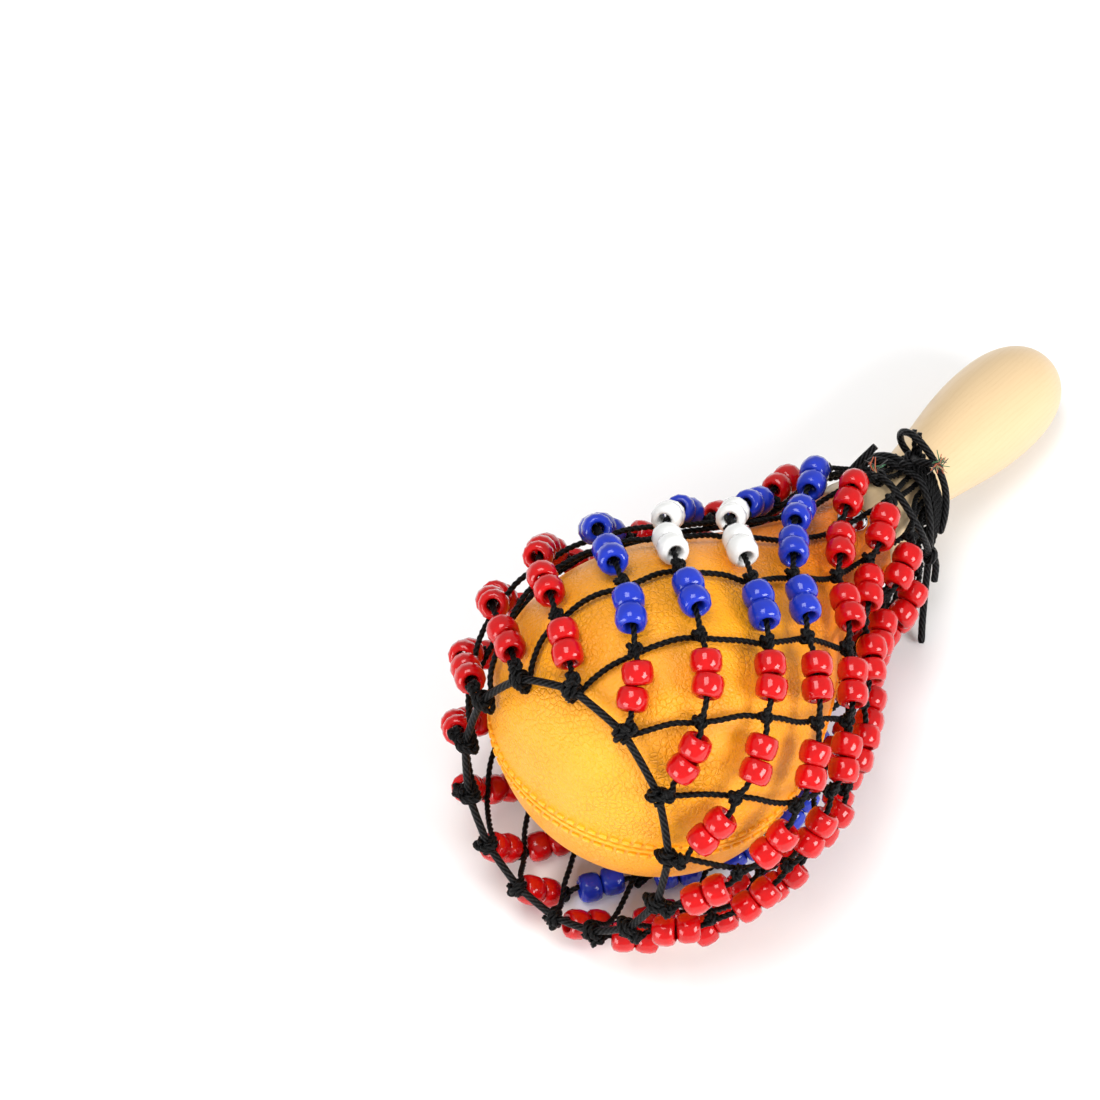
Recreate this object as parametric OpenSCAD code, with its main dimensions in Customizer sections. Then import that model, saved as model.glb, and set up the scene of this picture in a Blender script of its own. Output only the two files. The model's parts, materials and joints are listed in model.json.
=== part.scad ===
// Beaded maraca, lying on its bead net with the handle's end on the table.
// Millimetres, +Z up. The maraca's axis lies in the plane y = 0 and runs from the crown of the
// head, at -X, down to the end of the handle, at +X.

/* [Head] */
// Widest diameter of the head
head_d = 90; // [88:0.5:92]
// Length of the rounded crown, from its tip to the widest section
crown_len = 41; // [39:0.5:43]
// Length of the shell, from the tip of the crown to the rim
shell_len = 134; // [131:0.5:137]
// Outside diameter of the neck at the rim
neck_d = 31; // [30:0.25:31.5]
// Thickness of the moulded wall
shell_wall = 2; // [1.5:0.1:2.4]
// How far below the axis the moulding seam meets the crown
seam_drop = 6.5; // [0:0.5:10]

/* [Handle] */
// Length of the handle outside the head
handle_len = 102; // [98:0.5:108]
// Diameter of the shoulder that the rim rests on
shoulder_d = 31.6; // [31.5:0.1:32.2]
// Diameter of the waist, where the net is tied
waist_d = 20.2; // [19:0.1:21]
// Diameter of the grip's bulb
bulb_d = 31.4; // [30:0.1:33]
// Diameter of the tenon that the neck sits on
tenon_d = 27; // [25:0.1:27]
// Length of the tenon
tenon_len = 18; // [14:0.5:22]

/* [Neck tacks] */
// Number of tacks around the neck
tack_count = 4; // [3:1:4]
// Diameter of the domed cap
tack_d = 9; // [7:0.1:9.4]
// Height of the domed cap
tack_h = 2; // [1.4:0.1:2]
// Length of the shank
shank_len = 8; // [5:0.1:9]
// Diameter of the shank
shank_d = 1.5; // [1.2:0.1:2]

/* [Rattle] */
// Diameter of one pellet
pellet_d = 4.5; // [3:0.1:4.6]
// Pellets along each side of the square layer at rest
pellet_side = 5; // [3:1:6]

/* [Net] */
// Diameter of a bead
bead_d = 8.6; // [8:0.1:8.6]
// Length of a bead
bead_len = 6.5; // [6:0.1:6.5]
// Diameter of a bead's hole
bead_hole_d = 4; // [3.4:0.1:4.2]
// Diameter of the net's cord
cord_d = 1.5; // [1.2:0.05:1.5]
// Diameter of a knot
knot_d = 3.4; // [2.8:0.1:3.4]
// Diameter of the ring cord at the crown
ring_d = 2.2; // [1.8:0.1:2.2]

/* [Tie] */
// Diameter of the drawstring
tie_d = 2.2; // [1.8:0.1:2.4]
// Turns of the drawstring around the waist
tie_turns = 2; // [1:1:3]
// Gap between one turn and the next
tie_gap = 0.5; // [0.45:0.05:0.6]

/* [Hidden] */
$fn = 48;
head_r = head_d / 2;
neck_r = neck_d / 2;
taper_len = shell_len - crown_len;

// Places along the handle, from the rim
shoulder_at = 4;
waist_at = 24;
bulb_at = 75;
cap_power = 2.5;

// Outline of the head and of the handle, as radii at a distance along the axis
function head_taper(share) = neck_r + (head_r - neck_r) * (1 + cos(180 * share)) / 2;
function taper_share(t) = min(max((t - crown_len) / taper_len, 0), 1);
function head_radius(t) = t < crown_len
    ? head_r * sqrt(max(0, 1 - pow((crown_len - t) / crown_len, 2)))
    : head_taper(taper_share(t));
function head_slope(t) = (head_r - neck_r) / 2 * PI / taper_len * sin(180 * taper_share(t));
function blend(from, to, share) = from + (to - from) * (1 - cos(180 * share)) / 2;
function handle_radius(x) =
    x < shoulder_at ? shoulder_d / 2 - (shoulder_d - neck_d) / 2 * pow(1 - x / shoulder_at, 2) :
    x < waist_at ? blend(shoulder_d, waist_d, (x - shoulder_at) / (waist_at - shoulder_at)) / 2 :
    x < bulb_at ? blend(waist_d, bulb_d, (x - waist_at) / (bulb_at - waist_at)) / 2 :
    bulb_d / 2 * pow(max(0, 1 - pow((x - bulb_at) / (handle_len - bulb_at), cap_power)), 1 / cap_power);

// How the maraca lies: head and handle touch a common line, and the net lifts the head off the table
net_lift = 9.2;
rest_head = crown_len + 14;
rest_grip = handle_len - 14;
rest_rise = head_radius(rest_head) - handle_radius(rest_grip);
rest_run = shell_len + rest_grip - rest_head;
tilt = atan2(rest_rise, rest_run) + asin(net_lift / norm([rest_rise, rest_run]));
axis = [cos(tilt), 0, -sin(tilt)];
up = [sin(tilt), 0, cos(tilt)];
side = [0, 1, 0];
grip_reach = max([for (x = [waist_at : 0.5 : handle_len])
    handle_radius(x) * cos(tilt) + (shell_len + x) * sin(tilt)]);
crown = [-crown_len * cos(tilt), 0, grip_reach];

// Tacks and pellets
tack_at = shell_len - 6;
tack_turn = -12;
tack_seat = head_radius(tack_at - tack_d / 2);
tack_play = 0.1;
seat_len = 12;
tenon_play = 0.1;
tenon_chamfer = 1;
pellet_gap = 0.5;
pellet_at = crown_len + 5;

// The net: each of the strands is folded over the ring cord. One leg carries two beads in each
// row, and the other crosses under the knots of its neighbours.
strands = 14;
rows = 8;
pitch = 360 / strands;
// Where the rows of knots lie, as shares of the shell's length from the crown
row_share = [0.066, 0.172, 0.281, 0.391, 0.495, 0.612, 0.748, 0.885, 1.023];
// How far the net hangs out at the sides, below and forwards, row by row
side_slack = [1, 4, 6.5, 7.4, 8, 7, 4.4, 2, 0.6];
floor_slack = [-7, 5.5, 8, 8, 8, 5, 0, -2, -2];
front_slack = [2.75, 3, 2, 1.9, 1.7, 1, 0, 0, 0];
// How much higher the beads ride near the neck, and how unevenly the knots lie, in degrees
bead_lift = [0, 0, 0, 0, 0, 0.4, 1.2, 1.4, 1.4];
knot_wander = [0, 1.1, 1.1, 2.2, 2.6, 2.5, 1.3, 0, 0];
wander_by_strand = 120;
wander_by_row = 75;
// Lowest place of the plain legs, row by row
plain_low = [7, 8.5, 7.7, 7.2, 8.4, 9.2, 9.2, 9, 9];
// Place of the first strand, lean of the beaded legs in pitches a row, and crowding of the strands
first_strand = 3.25;
bead_lean = 0.62;
crowding = 8.4;
// Heights of the pieces above the head, centre of the cord first, and how far a plain leg bows out
knot_r = knot_d / 2;
cord_off = 1.3;
plain_bow = 0.6;
bead_off = 4.55;
knot_gap = 0.45;
knot_off = cord_off + cord_d / 2 + knot_gap + knot_r;
hitch_gap = 0.55;
ring_off = cord_off + cord_d / 2 + hitch_gap + ring_d / 2;
hitch_off = ring_off + ring_d / 2 + hitch_gap + knot_r;
hitch_r = ring_d / 2 + cord_d / 2 + hitch_gap;
bead_low = bead_d / 2 + 0.2;
knot_low = knot_r + 0.2;
net_floor = bead_low + bead_off;
// Where the net passes the tacks it keeps this far from the axis
tack_clear = tack_seat + tack_h + 0.2;
tack_reach = 18;
// A pair of beads: the gap between the two, the straight cord past each end, and the share of a
// row either side of its middle that sets their direction
bead_gap = 0.06;
bead_end = 0.8;
bead_run = bead_len + bead_gap / 2 + bead_end;
bead_share = 0.15;

// The tie: the drawstring is wound over the legs on the waist
tie_from = shell_len + 23;
tie_pitch = tie_d + tie_gap;
tie_to = tie_from + tie_turns * tie_pitch;
leg_gap = 0.35;
tie_clear = 0.35;
// The legs end a little past the winding, each cut at its own length
leg_steps = 3;
leg_margin = 1;
leg_end = 2;
leg_cut = 0.6;
leg_cuts = 7;
loop_rings = 24;
// The winding stops this many rings before the top
tie_short = 1;
cord_sides = 6;
ring_sides = 8;
ring_steps = 3;
tail_steps = 4;
// Routes of the two tails of the drawstring after they leave the winding
long_tail = [
    [114.8, -9, 42.4], [111.6, -13.6, 39.4], [108.2, -17, 33], [105.2, -19, 24.5],
    [101.8, -20.8, 14.5], [97.4, -23.4, 6], [92.6, -26.6, 1.5]];
loop_tail = [
    [121.9, 3.4, 44.2], [121.9, 4.3, 47.7], [121.5, 3, 51.1], [121, 0, 53.1],
    [120.5, -3.6, 52.9], [120.1, -7.2, 50.7], [119.9, -9.9, 47.6], [119.7, -12.2, 43.9],
    [119, -14.2, 39.8], [117.6, -15.7, 35.4], [115.6, -16.7, 31], [113, -17.3, 27]];

function unit(v) = v / norm(v);
function two(k) = k < 10 ? str("0", k) : str(k);
function by_row(list, j) =
    let (i = min(floor(max(j, 0)), rows - 1), share = min(max(j, 0), rows) - i)
    list[i] * (1 - share) + list[i + 1] * share;
function row_at(j) = by_row(row_share, j) * shell_len;

// Distance from the axis of a layer that lies a given height above the head
function layer_radius(t, off) = t < crown_len
    ? (head_r + off) * sqrt(1 - pow((crown_len - t) / (crown_len + off), 2))
    : let (body = abs(t - tack_at) < tack_reach ? max(head_radius(t), tack_clear) : head_radius(t))
      body + off * sqrt(1 + pow(head_slope(t), 2));
function radial(a) = cos(a) * up + sin(a) * side;
function crowded(a) = a + crowding * sin(a);

// A point of the net: a is the angle from the top, j the row, off the height above the head
function net_point(a, j, off, low) =
    let (
        b = crowded(a),
        t = row_at(j),
        near = layer_radius(t, off),
        wide = near + by_row(side_slack, j),
        below = (crown.z - t * sin(tilt) - net_floor) / cos(tilt) + by_row(floor_slack, j) + off,
        forward = by_row(front_slack, j) * (1 - cos(b)),
        p = crown + (t - forward) * axis
            + ((near - below) / 2 + (near + below) / 2 * cos(b)) * up
            + wide * sin(b) * side)
    [p.x, p.y, max(p.z, low)];
function strand(k) = (k - 1 + strands) % strands + 1;
function strand_turn(k, j) = (first_strand - k + bead_lean * j) * pitch;
function knot_turn(k, j) =
    strand_turn(k, j) + by_row(knot_wander, j) * sin(wander_by_strand * strand(k) + wander_by_row * j);
function knot(k, j) = net_point(knot_turn(k, j), j, j > 0 ? knot_off : hitch_off, knot_low);
function under_knot(k, j) = net_point(knot_turn(k, j), j, cord_off, by_row(plain_low, j));
// Middle and direction of the two beads between rows j - 1 and j
function bead_pair(k, j) =
    let (
        mid = (knot_turn(k, j) + knot_turn(k, j - 1)) / 2,
        lean = knot_turn(k, j) - knot_turn(k, j - 1),
        off = bead_off + by_row(bead_lift, j - 0.5),
        near = net_point(mid - bead_share * lean, j - 0.5 - bead_share, off, bead_low),
        far = net_point(mid + bead_share * lean, j - 0.5 + bead_share, off, bead_low),
        along = unit(far - near),
        centre = (near + far) / 2,
        between = (knot(k, j - 1) + knot(k, j)) / 2)
    [centre + along * ((between - centre) * along), along];

// Colour of the beads: rhombs of blue filled with white on a red ground, two around the head
motif_strands = 7;
motif_first = 4;
motif_size = 4;
function bead_colour(k, j) =
    let (
        q = (k - motif_first + strands) % motif_strands,
        r = j - q - 2)
    q >= motif_size || r < 0 || r >= motif_size ? "red" :
    q % (motif_size - 1) == 0 || r % (motif_size - 1) == 0 ? "blue" : "white";
function strands_with(colour) =
    [for (k = [1 : strands]) if (len([for (j = [1 : rows]) if (bead_colour(k, j) == colour) j]) > 0) k];

// Where a leg lies on the waist under the winding
function tie_point(a, t) =
    crown + t * axis + (handle_radius(t - shell_len) + leg_gap + cord_d / 2) * radial(crowded(a));
function tie_leg(a, k) =
    let (
        start = tie_from - leg_margin,
        end = tie_to + leg_margin,
        tip = tie_to + leg_end + (5 * k) % leg_cuts * leg_cut)
    concat(
        [for (i = [0 : leg_steps]) tie_point(a, start + (end - start) * i / leg_steps)],
        [tie_point(a, tip)]);
function bead_leg_turn(k) = strand_turn(k, rows) + pitch / 4;
function plain_leg_turn(k) = strand_turn(k + rows, rows) - pitch / 4;
function backwards(list) = [for (i = [len(list) - 1 : -1 : 0]) list[i]];
function sized(points, r) = [for (p = points) [p, r]];

// One strand as points with radii: up the beaded leg, around the ring cord, down the plain leg
function swelling(centre, along) = [
    [centre + knot_r * along, cord_d / 2], [centre, knot_r], [centre - knot_r * along, cord_d / 2]];
function beaded_leg(k) = [for (j = [rows : -1 : 1])
    let (
        pair = bead_pair(k, j),
        next = bead_pair(k, min(j + 1, rows)),
        from = j < rows ? next[0] - bead_run * next[1] : tie_leg(bead_leg_turn(k), k)[0],
        to = pair[0] + bead_run * pair[1])
    each concat(
        swelling(knot(k, j), unit(from - to)),
        sized([to, pair[0] - bead_run * pair[1]], cord_d / 2))];
function hitch(k) =
    let (
        pair = bead_pair(k, 1),
        a = strand_turn(k, 0),
        centre = net_point(a, 0, ring_off, 0),
        out = unit(knot(k, 0) - centre),
        turns = [for (b = [45 : 45 : 135]) centre + hitch_r * (cos(b) * out - sin(b) * axis)],
        pull = pair[0] - bead_run * pair[1] - turns[0])
    concat(
        swelling(knot(k, 0), unit(pull - (pull * out) * out)),
        sized(turns, cord_d / 2));
function plain_leg(k) = sized(concat([under_knot(k, 0)], [for (j = [1 : rows])
    let (
        a = (knot_turn(k + j - 1, j - 1) + knot_turn(k + j, j)) / 2,
        middle = net_point(a, j - 0.5, cord_off + plain_bow, by_row(plain_low, j - 0.5)))
    each [middle, under_knot(k + j, j)]]), cord_d / 2);
function strand_route(k) = concat(
    sized(backwards(tie_leg(bead_leg_turn(k), k)), cord_d / 2),
    beaded_leg(k),
    hitch(k),
    plain_leg(k),
    sized(tie_leg(plain_leg_turn(k), k + 1), cord_d / 2));

// The winding, with a straight end of one cord diameter at each side
function tie_radius(t) = handle_radius(t - shell_len) + leg_gap + cord_d + tie_clear + tie_d / 2;
tie_loops = [for (i = [0 : tie_turns * loop_rings - tie_short])
    let (t = tie_from + tie_pitch * i / loop_rings)
    crown + t * axis + tie_radius(t) * radial(360 * i / loop_rings)];
tie_last = len(tie_loops) - 1;
tie_first_way = unit(tie_loops[0] - tie_loops[1]);
tie_last_way = unit(tie_loops[tie_last] - tie_loops[tie_last - 1]);
tie_start = tie_loops[0] + tie_d * tie_first_way;
tie_end = tie_loops[tie_last] + tie_d * tie_last_way;
tie_route = concat([tie_start], tie_loops, [tie_end]);
tie_least_gap = min([for (i = [0 : tie_last - loop_rings / 2]) for (n = [i + loop_rings / 2 : tie_last])
    norm(tie_loops[n] - tie_loops[i])]) - tie_d;
echo(str("Least gap between the turns of the tie: ", tie_least_gap, " mm"));

// A smooth line through hand-set points that leaves its first point in a given direction
function smooth_step(a, b, c, d, s) =
    0.5 * (2 * b + (c - a) * s + (2 * a - 5 * b + 4 * c - d) * s * s + (3 * b - a - 3 * c + d) * pow(s, 3));
function smooth(points, way) =
    let (
        last = len(points) - 1,
        before = points[1] - 2 * norm(points[1] - points[0]) * way,
        after = 2 * points[last] - points[last - 1],
        route = concat([before], points, [after]))
    concat(
        [for (i = [0 : last - 1]) for (n = [0 : tail_steps - 1])
            smooth_step(route[i], route[i + 1], route[i + 2], route[i + 3], n / tail_steps)],
        [points[last]]);

// Middle of the object's length, which is moved to x = 0
bead_centres = [for (k = [1 : strands]) for (j = [1 : rows]) for (s = [-1, 1])
    let (pair = bead_pair(k, j)) pair[0] + s * (bead_len + bead_gap) / 2 * pair[1]];
front_x = min(concat(
    [for (p = bead_centres) p.x - bead_d / 2],
    [for (k = [1 : strands]) for (p = hitch(k)) p[0].x - p[1]]));
back_x = max([for (x = [bulb_at : 0.5 : handle_len])
    crown.x + (shell_len + x) * cos(tilt) + handle_radius(x) * sin(tilt)]);
middle = [(front_x + back_x) / 2, 0, 0];

module lay() translate(-middle) children();
module along_axis() lay() translate(crown) rotate([0, 90 + tilt, 0]) children();

// A closed tube through points with radii. Each guide is a direction that its ring is turned to.
module tube(points, radii, guides, sides, closed = false) {
    count = len(points);
    rings = [for (i = [0 : count - 1])
        let (
            before = points[closed ? (i + count - 1) % count : max(i - 1, 0)],
            after = points[closed ? (i + 1) % count : min(i + 1, count - 1)],
            along = unit(after - before),
            first = unit(guides[i] - (guides[i] * along) * along),
            second = cross(along, first))
        each [for (m = [0 : sides - 1])
            points[i] + radii[i] * (cos(360 * m / sides) * first + sin(360 * m / sides) * second)]];
    walls = [for (i = [0 : closed ? count - 1 : count - 2]) for (m = [0 : sides - 1])
        let (
            a = i * sides + m,
            b = i * sides + (m + 1) % sides,
            c = (i + 1) % count * sides + (m + 1) % sides,
            d = (i + 1) % count * sides + m)
        each [[a, d, c], [a, c, b]]];
    ends = closed ? [] : [
        [for (m = [0 : sides - 1]) m],
        [for (m = [sides - 1 : -1 : 0]) (count - 1) * sides + m]];
    polyhedron(rings, concat(walls, ends));
}

module shell() {
    crown_steps = 18;
    taper_steps = 32;
    seat = shell_len - seat_len;
    outside = concat(
        [for (i = [0 : crown_steps])
            let (a = 90 * i / crown_steps) [head_r * sin(a), crown_len * (1 - cos(a))]],
        [for (i = [1 : taper_steps])
            let (t = crown_len + taper_len * i / taper_steps) [head_radius(t), t]]);
    inside = concat(
        [[tenon_d / 2, shell_len], [tenon_d / 2, seat]],
        [for (i = [taper_steps : -1 : 0])
            let (t = crown_len + (seat - crown_len) * i / taper_steps)
            [head_radius(t) - shell_wall * sqrt(1 + pow(head_slope(t), 2)), t]],
        [for (i = [crown_steps - 1 : -1 : 0])
            let (a = 90 * i / crown_steps)
            [(head_r - shell_wall) * sin(a), crown_len - (crown_len - shell_wall) * cos(a)]]);
    rotate_extrude() polygon(concat(outside, inside));
}

module at_tacks()
    for (i = [0 : tack_count - 1])
        translate([0, 0, tack_at]) rotate([0, 0, 180 - tack_turn - 360 / tack_count * i])
            translate([tack_seat, 0, 0]) rotate([0, 90, 0]) children();

module tack_holes()
    at_tacks() translate([0, 0, -shank_len - tack_play])
        cylinder(d = shank_d + tack_play, h = shank_len + tack_h);

// Everything on one side of the seam: -1 keeps the upper half, 1 the lower
module half(which) {
    big = 3 * shell_len;
    difference() {
        children();
        translate([0, 0, shell_len]) rotate([0, -atan2(seam_drop, shell_len), 0])
            translate([which > 0 ? -big : 0, -big / 2, -big / 2]) cube(big);
    }
}

module head_shell(which)
    color("orange") along_axis() half(which) difference() {
        shell();
        tack_holes();
    }

module head_shell_upper() head_shell(-1);
module head_shell_lower() head_shell(1);

module handle() {
    steps = 51;
    tenon_r = tenon_d / 2 - tenon_play;
    foot = shell_len - tenon_len;
    outline = concat(
        [[0, foot], [tenon_r - tenon_chamfer, foot], [tenon_r, foot + tenon_chamfer], [tenon_r, shell_len]],
        [for (i = [0 : steps]) let (x = handle_len * i / steps) [handle_radius(x), shell_len + x]]);
    color("wheat") along_axis() difference() {
        rotate_extrude() polygon(outline);
        tack_holes();
    }
}

module neck_tacks() {
    cap_r = (pow(tack_d / 2, 2) + pow(tack_h, 2)) / (2 * tack_h);
    color("silver") along_axis() at_tacks() rotate_extrude() {
        intersection() {
            translate([0, tack_h - cap_r]) circle(cap_r);
            square([tack_d / 2, tack_h]);
        }
        translate([0, -shank_len]) square([shank_d / 2, shank_len]);
    }
}

module rattle_pellets() {
    spacing = pellet_d + pellet_gap;
    first = -(pellet_side - 1) / 2;
    color("sienna") along_axis() for (m = [0 : pellet_side - 1]) for (n = [0 : pellet_side - 1]) {
        t = pellet_at + (first + m) * spacing;
        r = head_radius(t) - shell_wall - spacing / 2 - pellet_gap / 2;
        a = (first + n) * spacing / r * 180 / PI;
        translate([r * cos(a), r * sin(a), t]) sphere(d = pellet_d);
    }
}

module crown_ring() {
    points = [for (i = [0 : strands * ring_steps - 1])
        net_point(strand_turn(1 - i / ring_steps, 0), 0, ring_off, 0)];
    color("black") lay()
        tube(points, [for (p = points) ring_d / 2], [for (p = points) axis], ring_sides, closed = true);
}

module net_cord(k) {
    route = strand_route(k);
    points = [for (p = route) p[0]];
    color("black") lay()
        tube(points, [for (p = route) p[1]], [for (p = points) cross(axis, p - crown)], cord_sides);
}

module bead()
    rotate_extrude() intersection() {
        circle(d = bead_d);
        translate([bead_hole_d / 2, -bead_len / 2]) square([bead_d, bead_len]);
    }

module beads(colour, k)
    color(colour) lay() for (j = [1 : rows]) if (bead_colour(k, j) == colour) for (s = [-1, 1]) {
        pair = bead_pair(k, j);
        along = pair[1];
        translate(pair[0] + s * (bead_len + bead_gap) / 2 * along)
            rotate([0, acos(along.z), atan2(along.y, along.x)]) bead();
    }

module neck_lashing()
    color("black") lay()
        tube(tie_route, [for (p = tie_route) tie_d / 2], [for (p = tie_route) axis], cord_sides);

module tail(start, way, route, guide) {
    points = concat([start], smooth(concat([start + tie_d * way], route), way));
    color("black") lay() tube(points, [for (p = points) tie_d / 2], [for (p = points) guide], ring_sides);
}

module drawstring_tail_long() tail(tie_start, tie_first_way, long_tail, axis);
module drawstring_tail_loop() tail(tie_end, tie_last_way, loop_tail, up);

handle();
head_shell_upper();
head_shell_lower();
neck_tacks();
rattle_pellets();
crown_ring();
for (k = [1 : strands]) net_cord(k);
for (c = ["red", "blue", "white"]) for (k = strands_with(c))
    beads(c, k);
neck_lashing();
drawstring_tail_long();
drawstring_tail_loop();
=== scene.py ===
import json
import math
import random

import bpy
import numpy as np
from bpy.props import FloatProperty, FloatVectorProperty, IntProperty, PointerProperty
from mathutils import Matrix, Vector


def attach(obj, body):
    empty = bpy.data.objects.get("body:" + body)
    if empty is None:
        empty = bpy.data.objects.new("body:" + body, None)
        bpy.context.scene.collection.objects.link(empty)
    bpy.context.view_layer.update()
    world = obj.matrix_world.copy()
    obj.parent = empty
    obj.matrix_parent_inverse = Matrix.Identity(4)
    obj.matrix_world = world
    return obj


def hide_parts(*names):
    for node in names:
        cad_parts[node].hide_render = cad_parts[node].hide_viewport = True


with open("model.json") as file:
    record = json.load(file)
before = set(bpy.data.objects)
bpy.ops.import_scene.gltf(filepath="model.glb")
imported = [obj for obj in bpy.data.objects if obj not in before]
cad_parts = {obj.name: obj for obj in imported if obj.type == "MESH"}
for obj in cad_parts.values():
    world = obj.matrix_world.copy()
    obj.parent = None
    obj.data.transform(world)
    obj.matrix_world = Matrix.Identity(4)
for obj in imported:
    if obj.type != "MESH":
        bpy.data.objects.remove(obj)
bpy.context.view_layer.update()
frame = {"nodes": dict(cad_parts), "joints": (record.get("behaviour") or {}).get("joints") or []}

bl_info = {
    "name": "Beaded Maraca",
    "version": (1, 0, 0),
    "blender": (4, 5, 0),
    "location": "View3D > Sidebar > Maraca",
    "description": "Models a moulded maraca in its knotted bead net and sets it on a studio floor",
    "category": "Object",
}

MM = 0.001
FULL_TURN = 2 * math.pi

# The maraca's axis comes from the joint that the net turns on, 100 mm behind the crown
TWIST = next(j for j in frame["joints"] if j["name"] == "net_twist")
TWIST_AT = 100 * MM
AXIS = Vector(TWIST["axis"]).normalized()
SIDE = Vector((0, 1, 0))
UP = AXIS.cross(SIDE)
CROWN = Vector(TWIST["pos_m"]) - TWIST_AT * AXIS
TILT = math.asin(-AXIS.z)
CROWN_LENGTH = 41


def length_property(title, about, value):
    """A size that the user can change, given in millimetres."""
    return FloatProperty(
        name=title, description=about, default=value * MM, min=0, unit="LENGTH", precision=4)


def colour_property(title, about, value):
    """A colour that the user can change."""
    return FloatVectorProperty(
        name=title, description=about, default=value, size=3, min=0, max=1, subtype="COLOR")


class MaracaSizes(bpy.types.PropertyGroup):
    """Sizes of the maraca's pieces"""

    head: length_property("Head", "Diameter of the head at its widest", 90)
    crown: length_property("Crown", "Length from the crown to the widest place", CROWN_LENGTH)
    shell: length_property("Shell", "Length of the head shell", 134)
    neck: length_property("Neck", "Diameter of the shell's neck", 31)
    wall: length_property("Wall", "Thickness of the shell", 2)
    seam_drop: length_property("Seam drop", "How far the seam lies below the axis at the crown", 6.5)
    handle: length_property("Handle", "Length of the handle", 102)
    shoulder: length_property("Shoulder", "Diameter of the handle's shoulder", 31.6)
    waist: length_property("Waist", "Diameter of the handle's waist", 20.2)
    bulb: length_property("Bulb", "Diameter of the handle's bulb", 31.4)
    tack: length_property("Tack", "Diameter of a tack's cap", 9)
    tack_height: length_property("Tack height", "Height of a tack's cap", 2)
    bead: length_property("Bead", "Diameter of a bead", 8.6)
    bead_length: length_property("Bead length", "Length of a bead", 6.5)
    bead_hole: length_property("Bead hole", "Diameter of a bead's hole", 4)
    net_cord: length_property("Net cord", "Diameter of the twisted cord of the net", 1.8)
    ring_cord: length_property("Ring cord", "Diameter of the braided cord around the crown", 2.2)
    drawstring: length_property("Drawstring", "Diameter of the braided drawstring", 2.2)
    tacks: IntProperty(name="Tacks", description="Number of tacks around the neck", default=4, min=0)
    seed: IntProperty(name="Seed", description="Start of the random turns of beads and knots", default=7)


class MaracaColours(bpy.types.PropertyGroup):
    """Colours of the maraca's pieces"""

    head: colour_property("Head", "Amber of the moulded head", (0.95, 0.36, 0.006))
    wood: colour_property("Wood", "Pale wood of the handle", (0.67, 0.49, 0.28))
    red: colour_property("Red", "Red of the beads", (0.53, 0.003, 0.004))
    blue: colour_property("Blue", "Blue of the beads", (0.012, 0.034, 0.44))
    white: colour_property("White", "White of the beads", (0.76, 0.76, 0.745))
    cord: colour_property("Cord", "Black of the cords", (0.0018, 0.0018, 0.0019))
    chrome: colour_property("Chrome", "Plating of the tacks", (0.80, 0.81, 0.83))
    pellet: colour_property("Pellet", "Plastic of the pellets", (0.20, 0.10, 0.05))
    floor: colour_property("Floor", "Pale floor of the studio", (0.90, 0.90, 0.90))


# Outline of the head and of the handle
SHOULDER_AT = 4 * MM
WAIST_AT = 24 * MM
BULB_AT = 75 * MM
CAP_POWER = 2.5


def head_radius(s, t):
    """Radius of the head at a distance t behind the crown."""
    if t < s.crown:
        return s.head / 2 * math.sqrt(max(0, 1 - ((s.crown - t) / s.crown) ** 2))
    share = min((t - s.crown) / (s.shell - s.crown), 1)
    return (s.neck + (s.head - s.neck) * (1 + math.cos(math.pi * share)) / 2) / 2


def head_slope(s, t):
    """How fast the head tapers at a distance t behind the crown."""
    taper = s.shell - s.crown
    share = min(max((t - s.crown) / taper, 0), 1)
    return (s.head - s.neck) / 4 * math.pi / taper * math.sin(math.pi * share)


def eased(start, end, share):
    """A value that leaves start and reaches end without a kink."""
    return start + (end - start) * (1 - math.cos(math.pi * share)) / 2


def handle_radius(s, x):
    """Radius of the handle at a distance x behind the shell's rim."""
    if x < SHOULDER_AT:
        return (s.shoulder - (s.shoulder - s.neck) * (1 - x / SHOULDER_AT) ** 2) / 2
    if x < WAIST_AT:
        return eased(s.shoulder, s.waist, (x - SHOULDER_AT) / (WAIST_AT - SHOULDER_AT)) / 2
    if x < BULB_AT:
        return eased(s.waist, s.bulb, (x - WAIST_AT) / (BULB_AT - WAIST_AT)) / 2
    share = min((x - BULB_AT) / (s.handle - BULB_AT), 1)
    return s.bulb / 2 * (1 - share ** CAP_POWER) ** (1 / CAP_POWER)


def radial(angle):
    """Direction away from the axis, with the angle in degrees from the top towards the side."""
    return math.cos(math.radians(angle)) * UP + math.sin(math.radians(angle)) * SIDE


def on_axis(t):
    """Point of the axis at a distance t behind the crown."""
    return CROWN + t * AXIS


# The net: strands around the head, rows along it, and how loosely it hangs, row by row
STRANDS = 14
ROWS = 8
PITCH = 360 / STRANDS
ROW_SHARE = (0.066, 0.172, 0.281, 0.391, 0.495, 0.612, 0.748, 0.885, 1.023)
SIDE_SLACK = (1, 4, 6.5, 7.4, 8, 7, 4.4, 2, 0.6)
FLOOR_SLACK = (-7, 5.5, 8, 8, 8, 5, 0, -2, -2)
FRONT_SLACK = (2.75, 3, 2, 1.9, 1.7, 1, 0, 0, 0)
BEAD_LIFT = (0, 0, 0, 0, 0, 0.4, 1.2, 1.4, 1.4)
KNOT_WANDER = (0, 1.1, 1.1, 2.2, 2.6, 2.5, 1.3, 0, 0)
WANDER_BY_STRAND = 120
WANDER_BY_ROW = 75
PLAIN_LOW = (7, 8.5, 7.7, 7.2, 8.4, 9.2, 9.2, 9, 9)
FIRST_STRAND = 3.25
BEAD_LEAN = 0.62
CROWDING = 8.4

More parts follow.
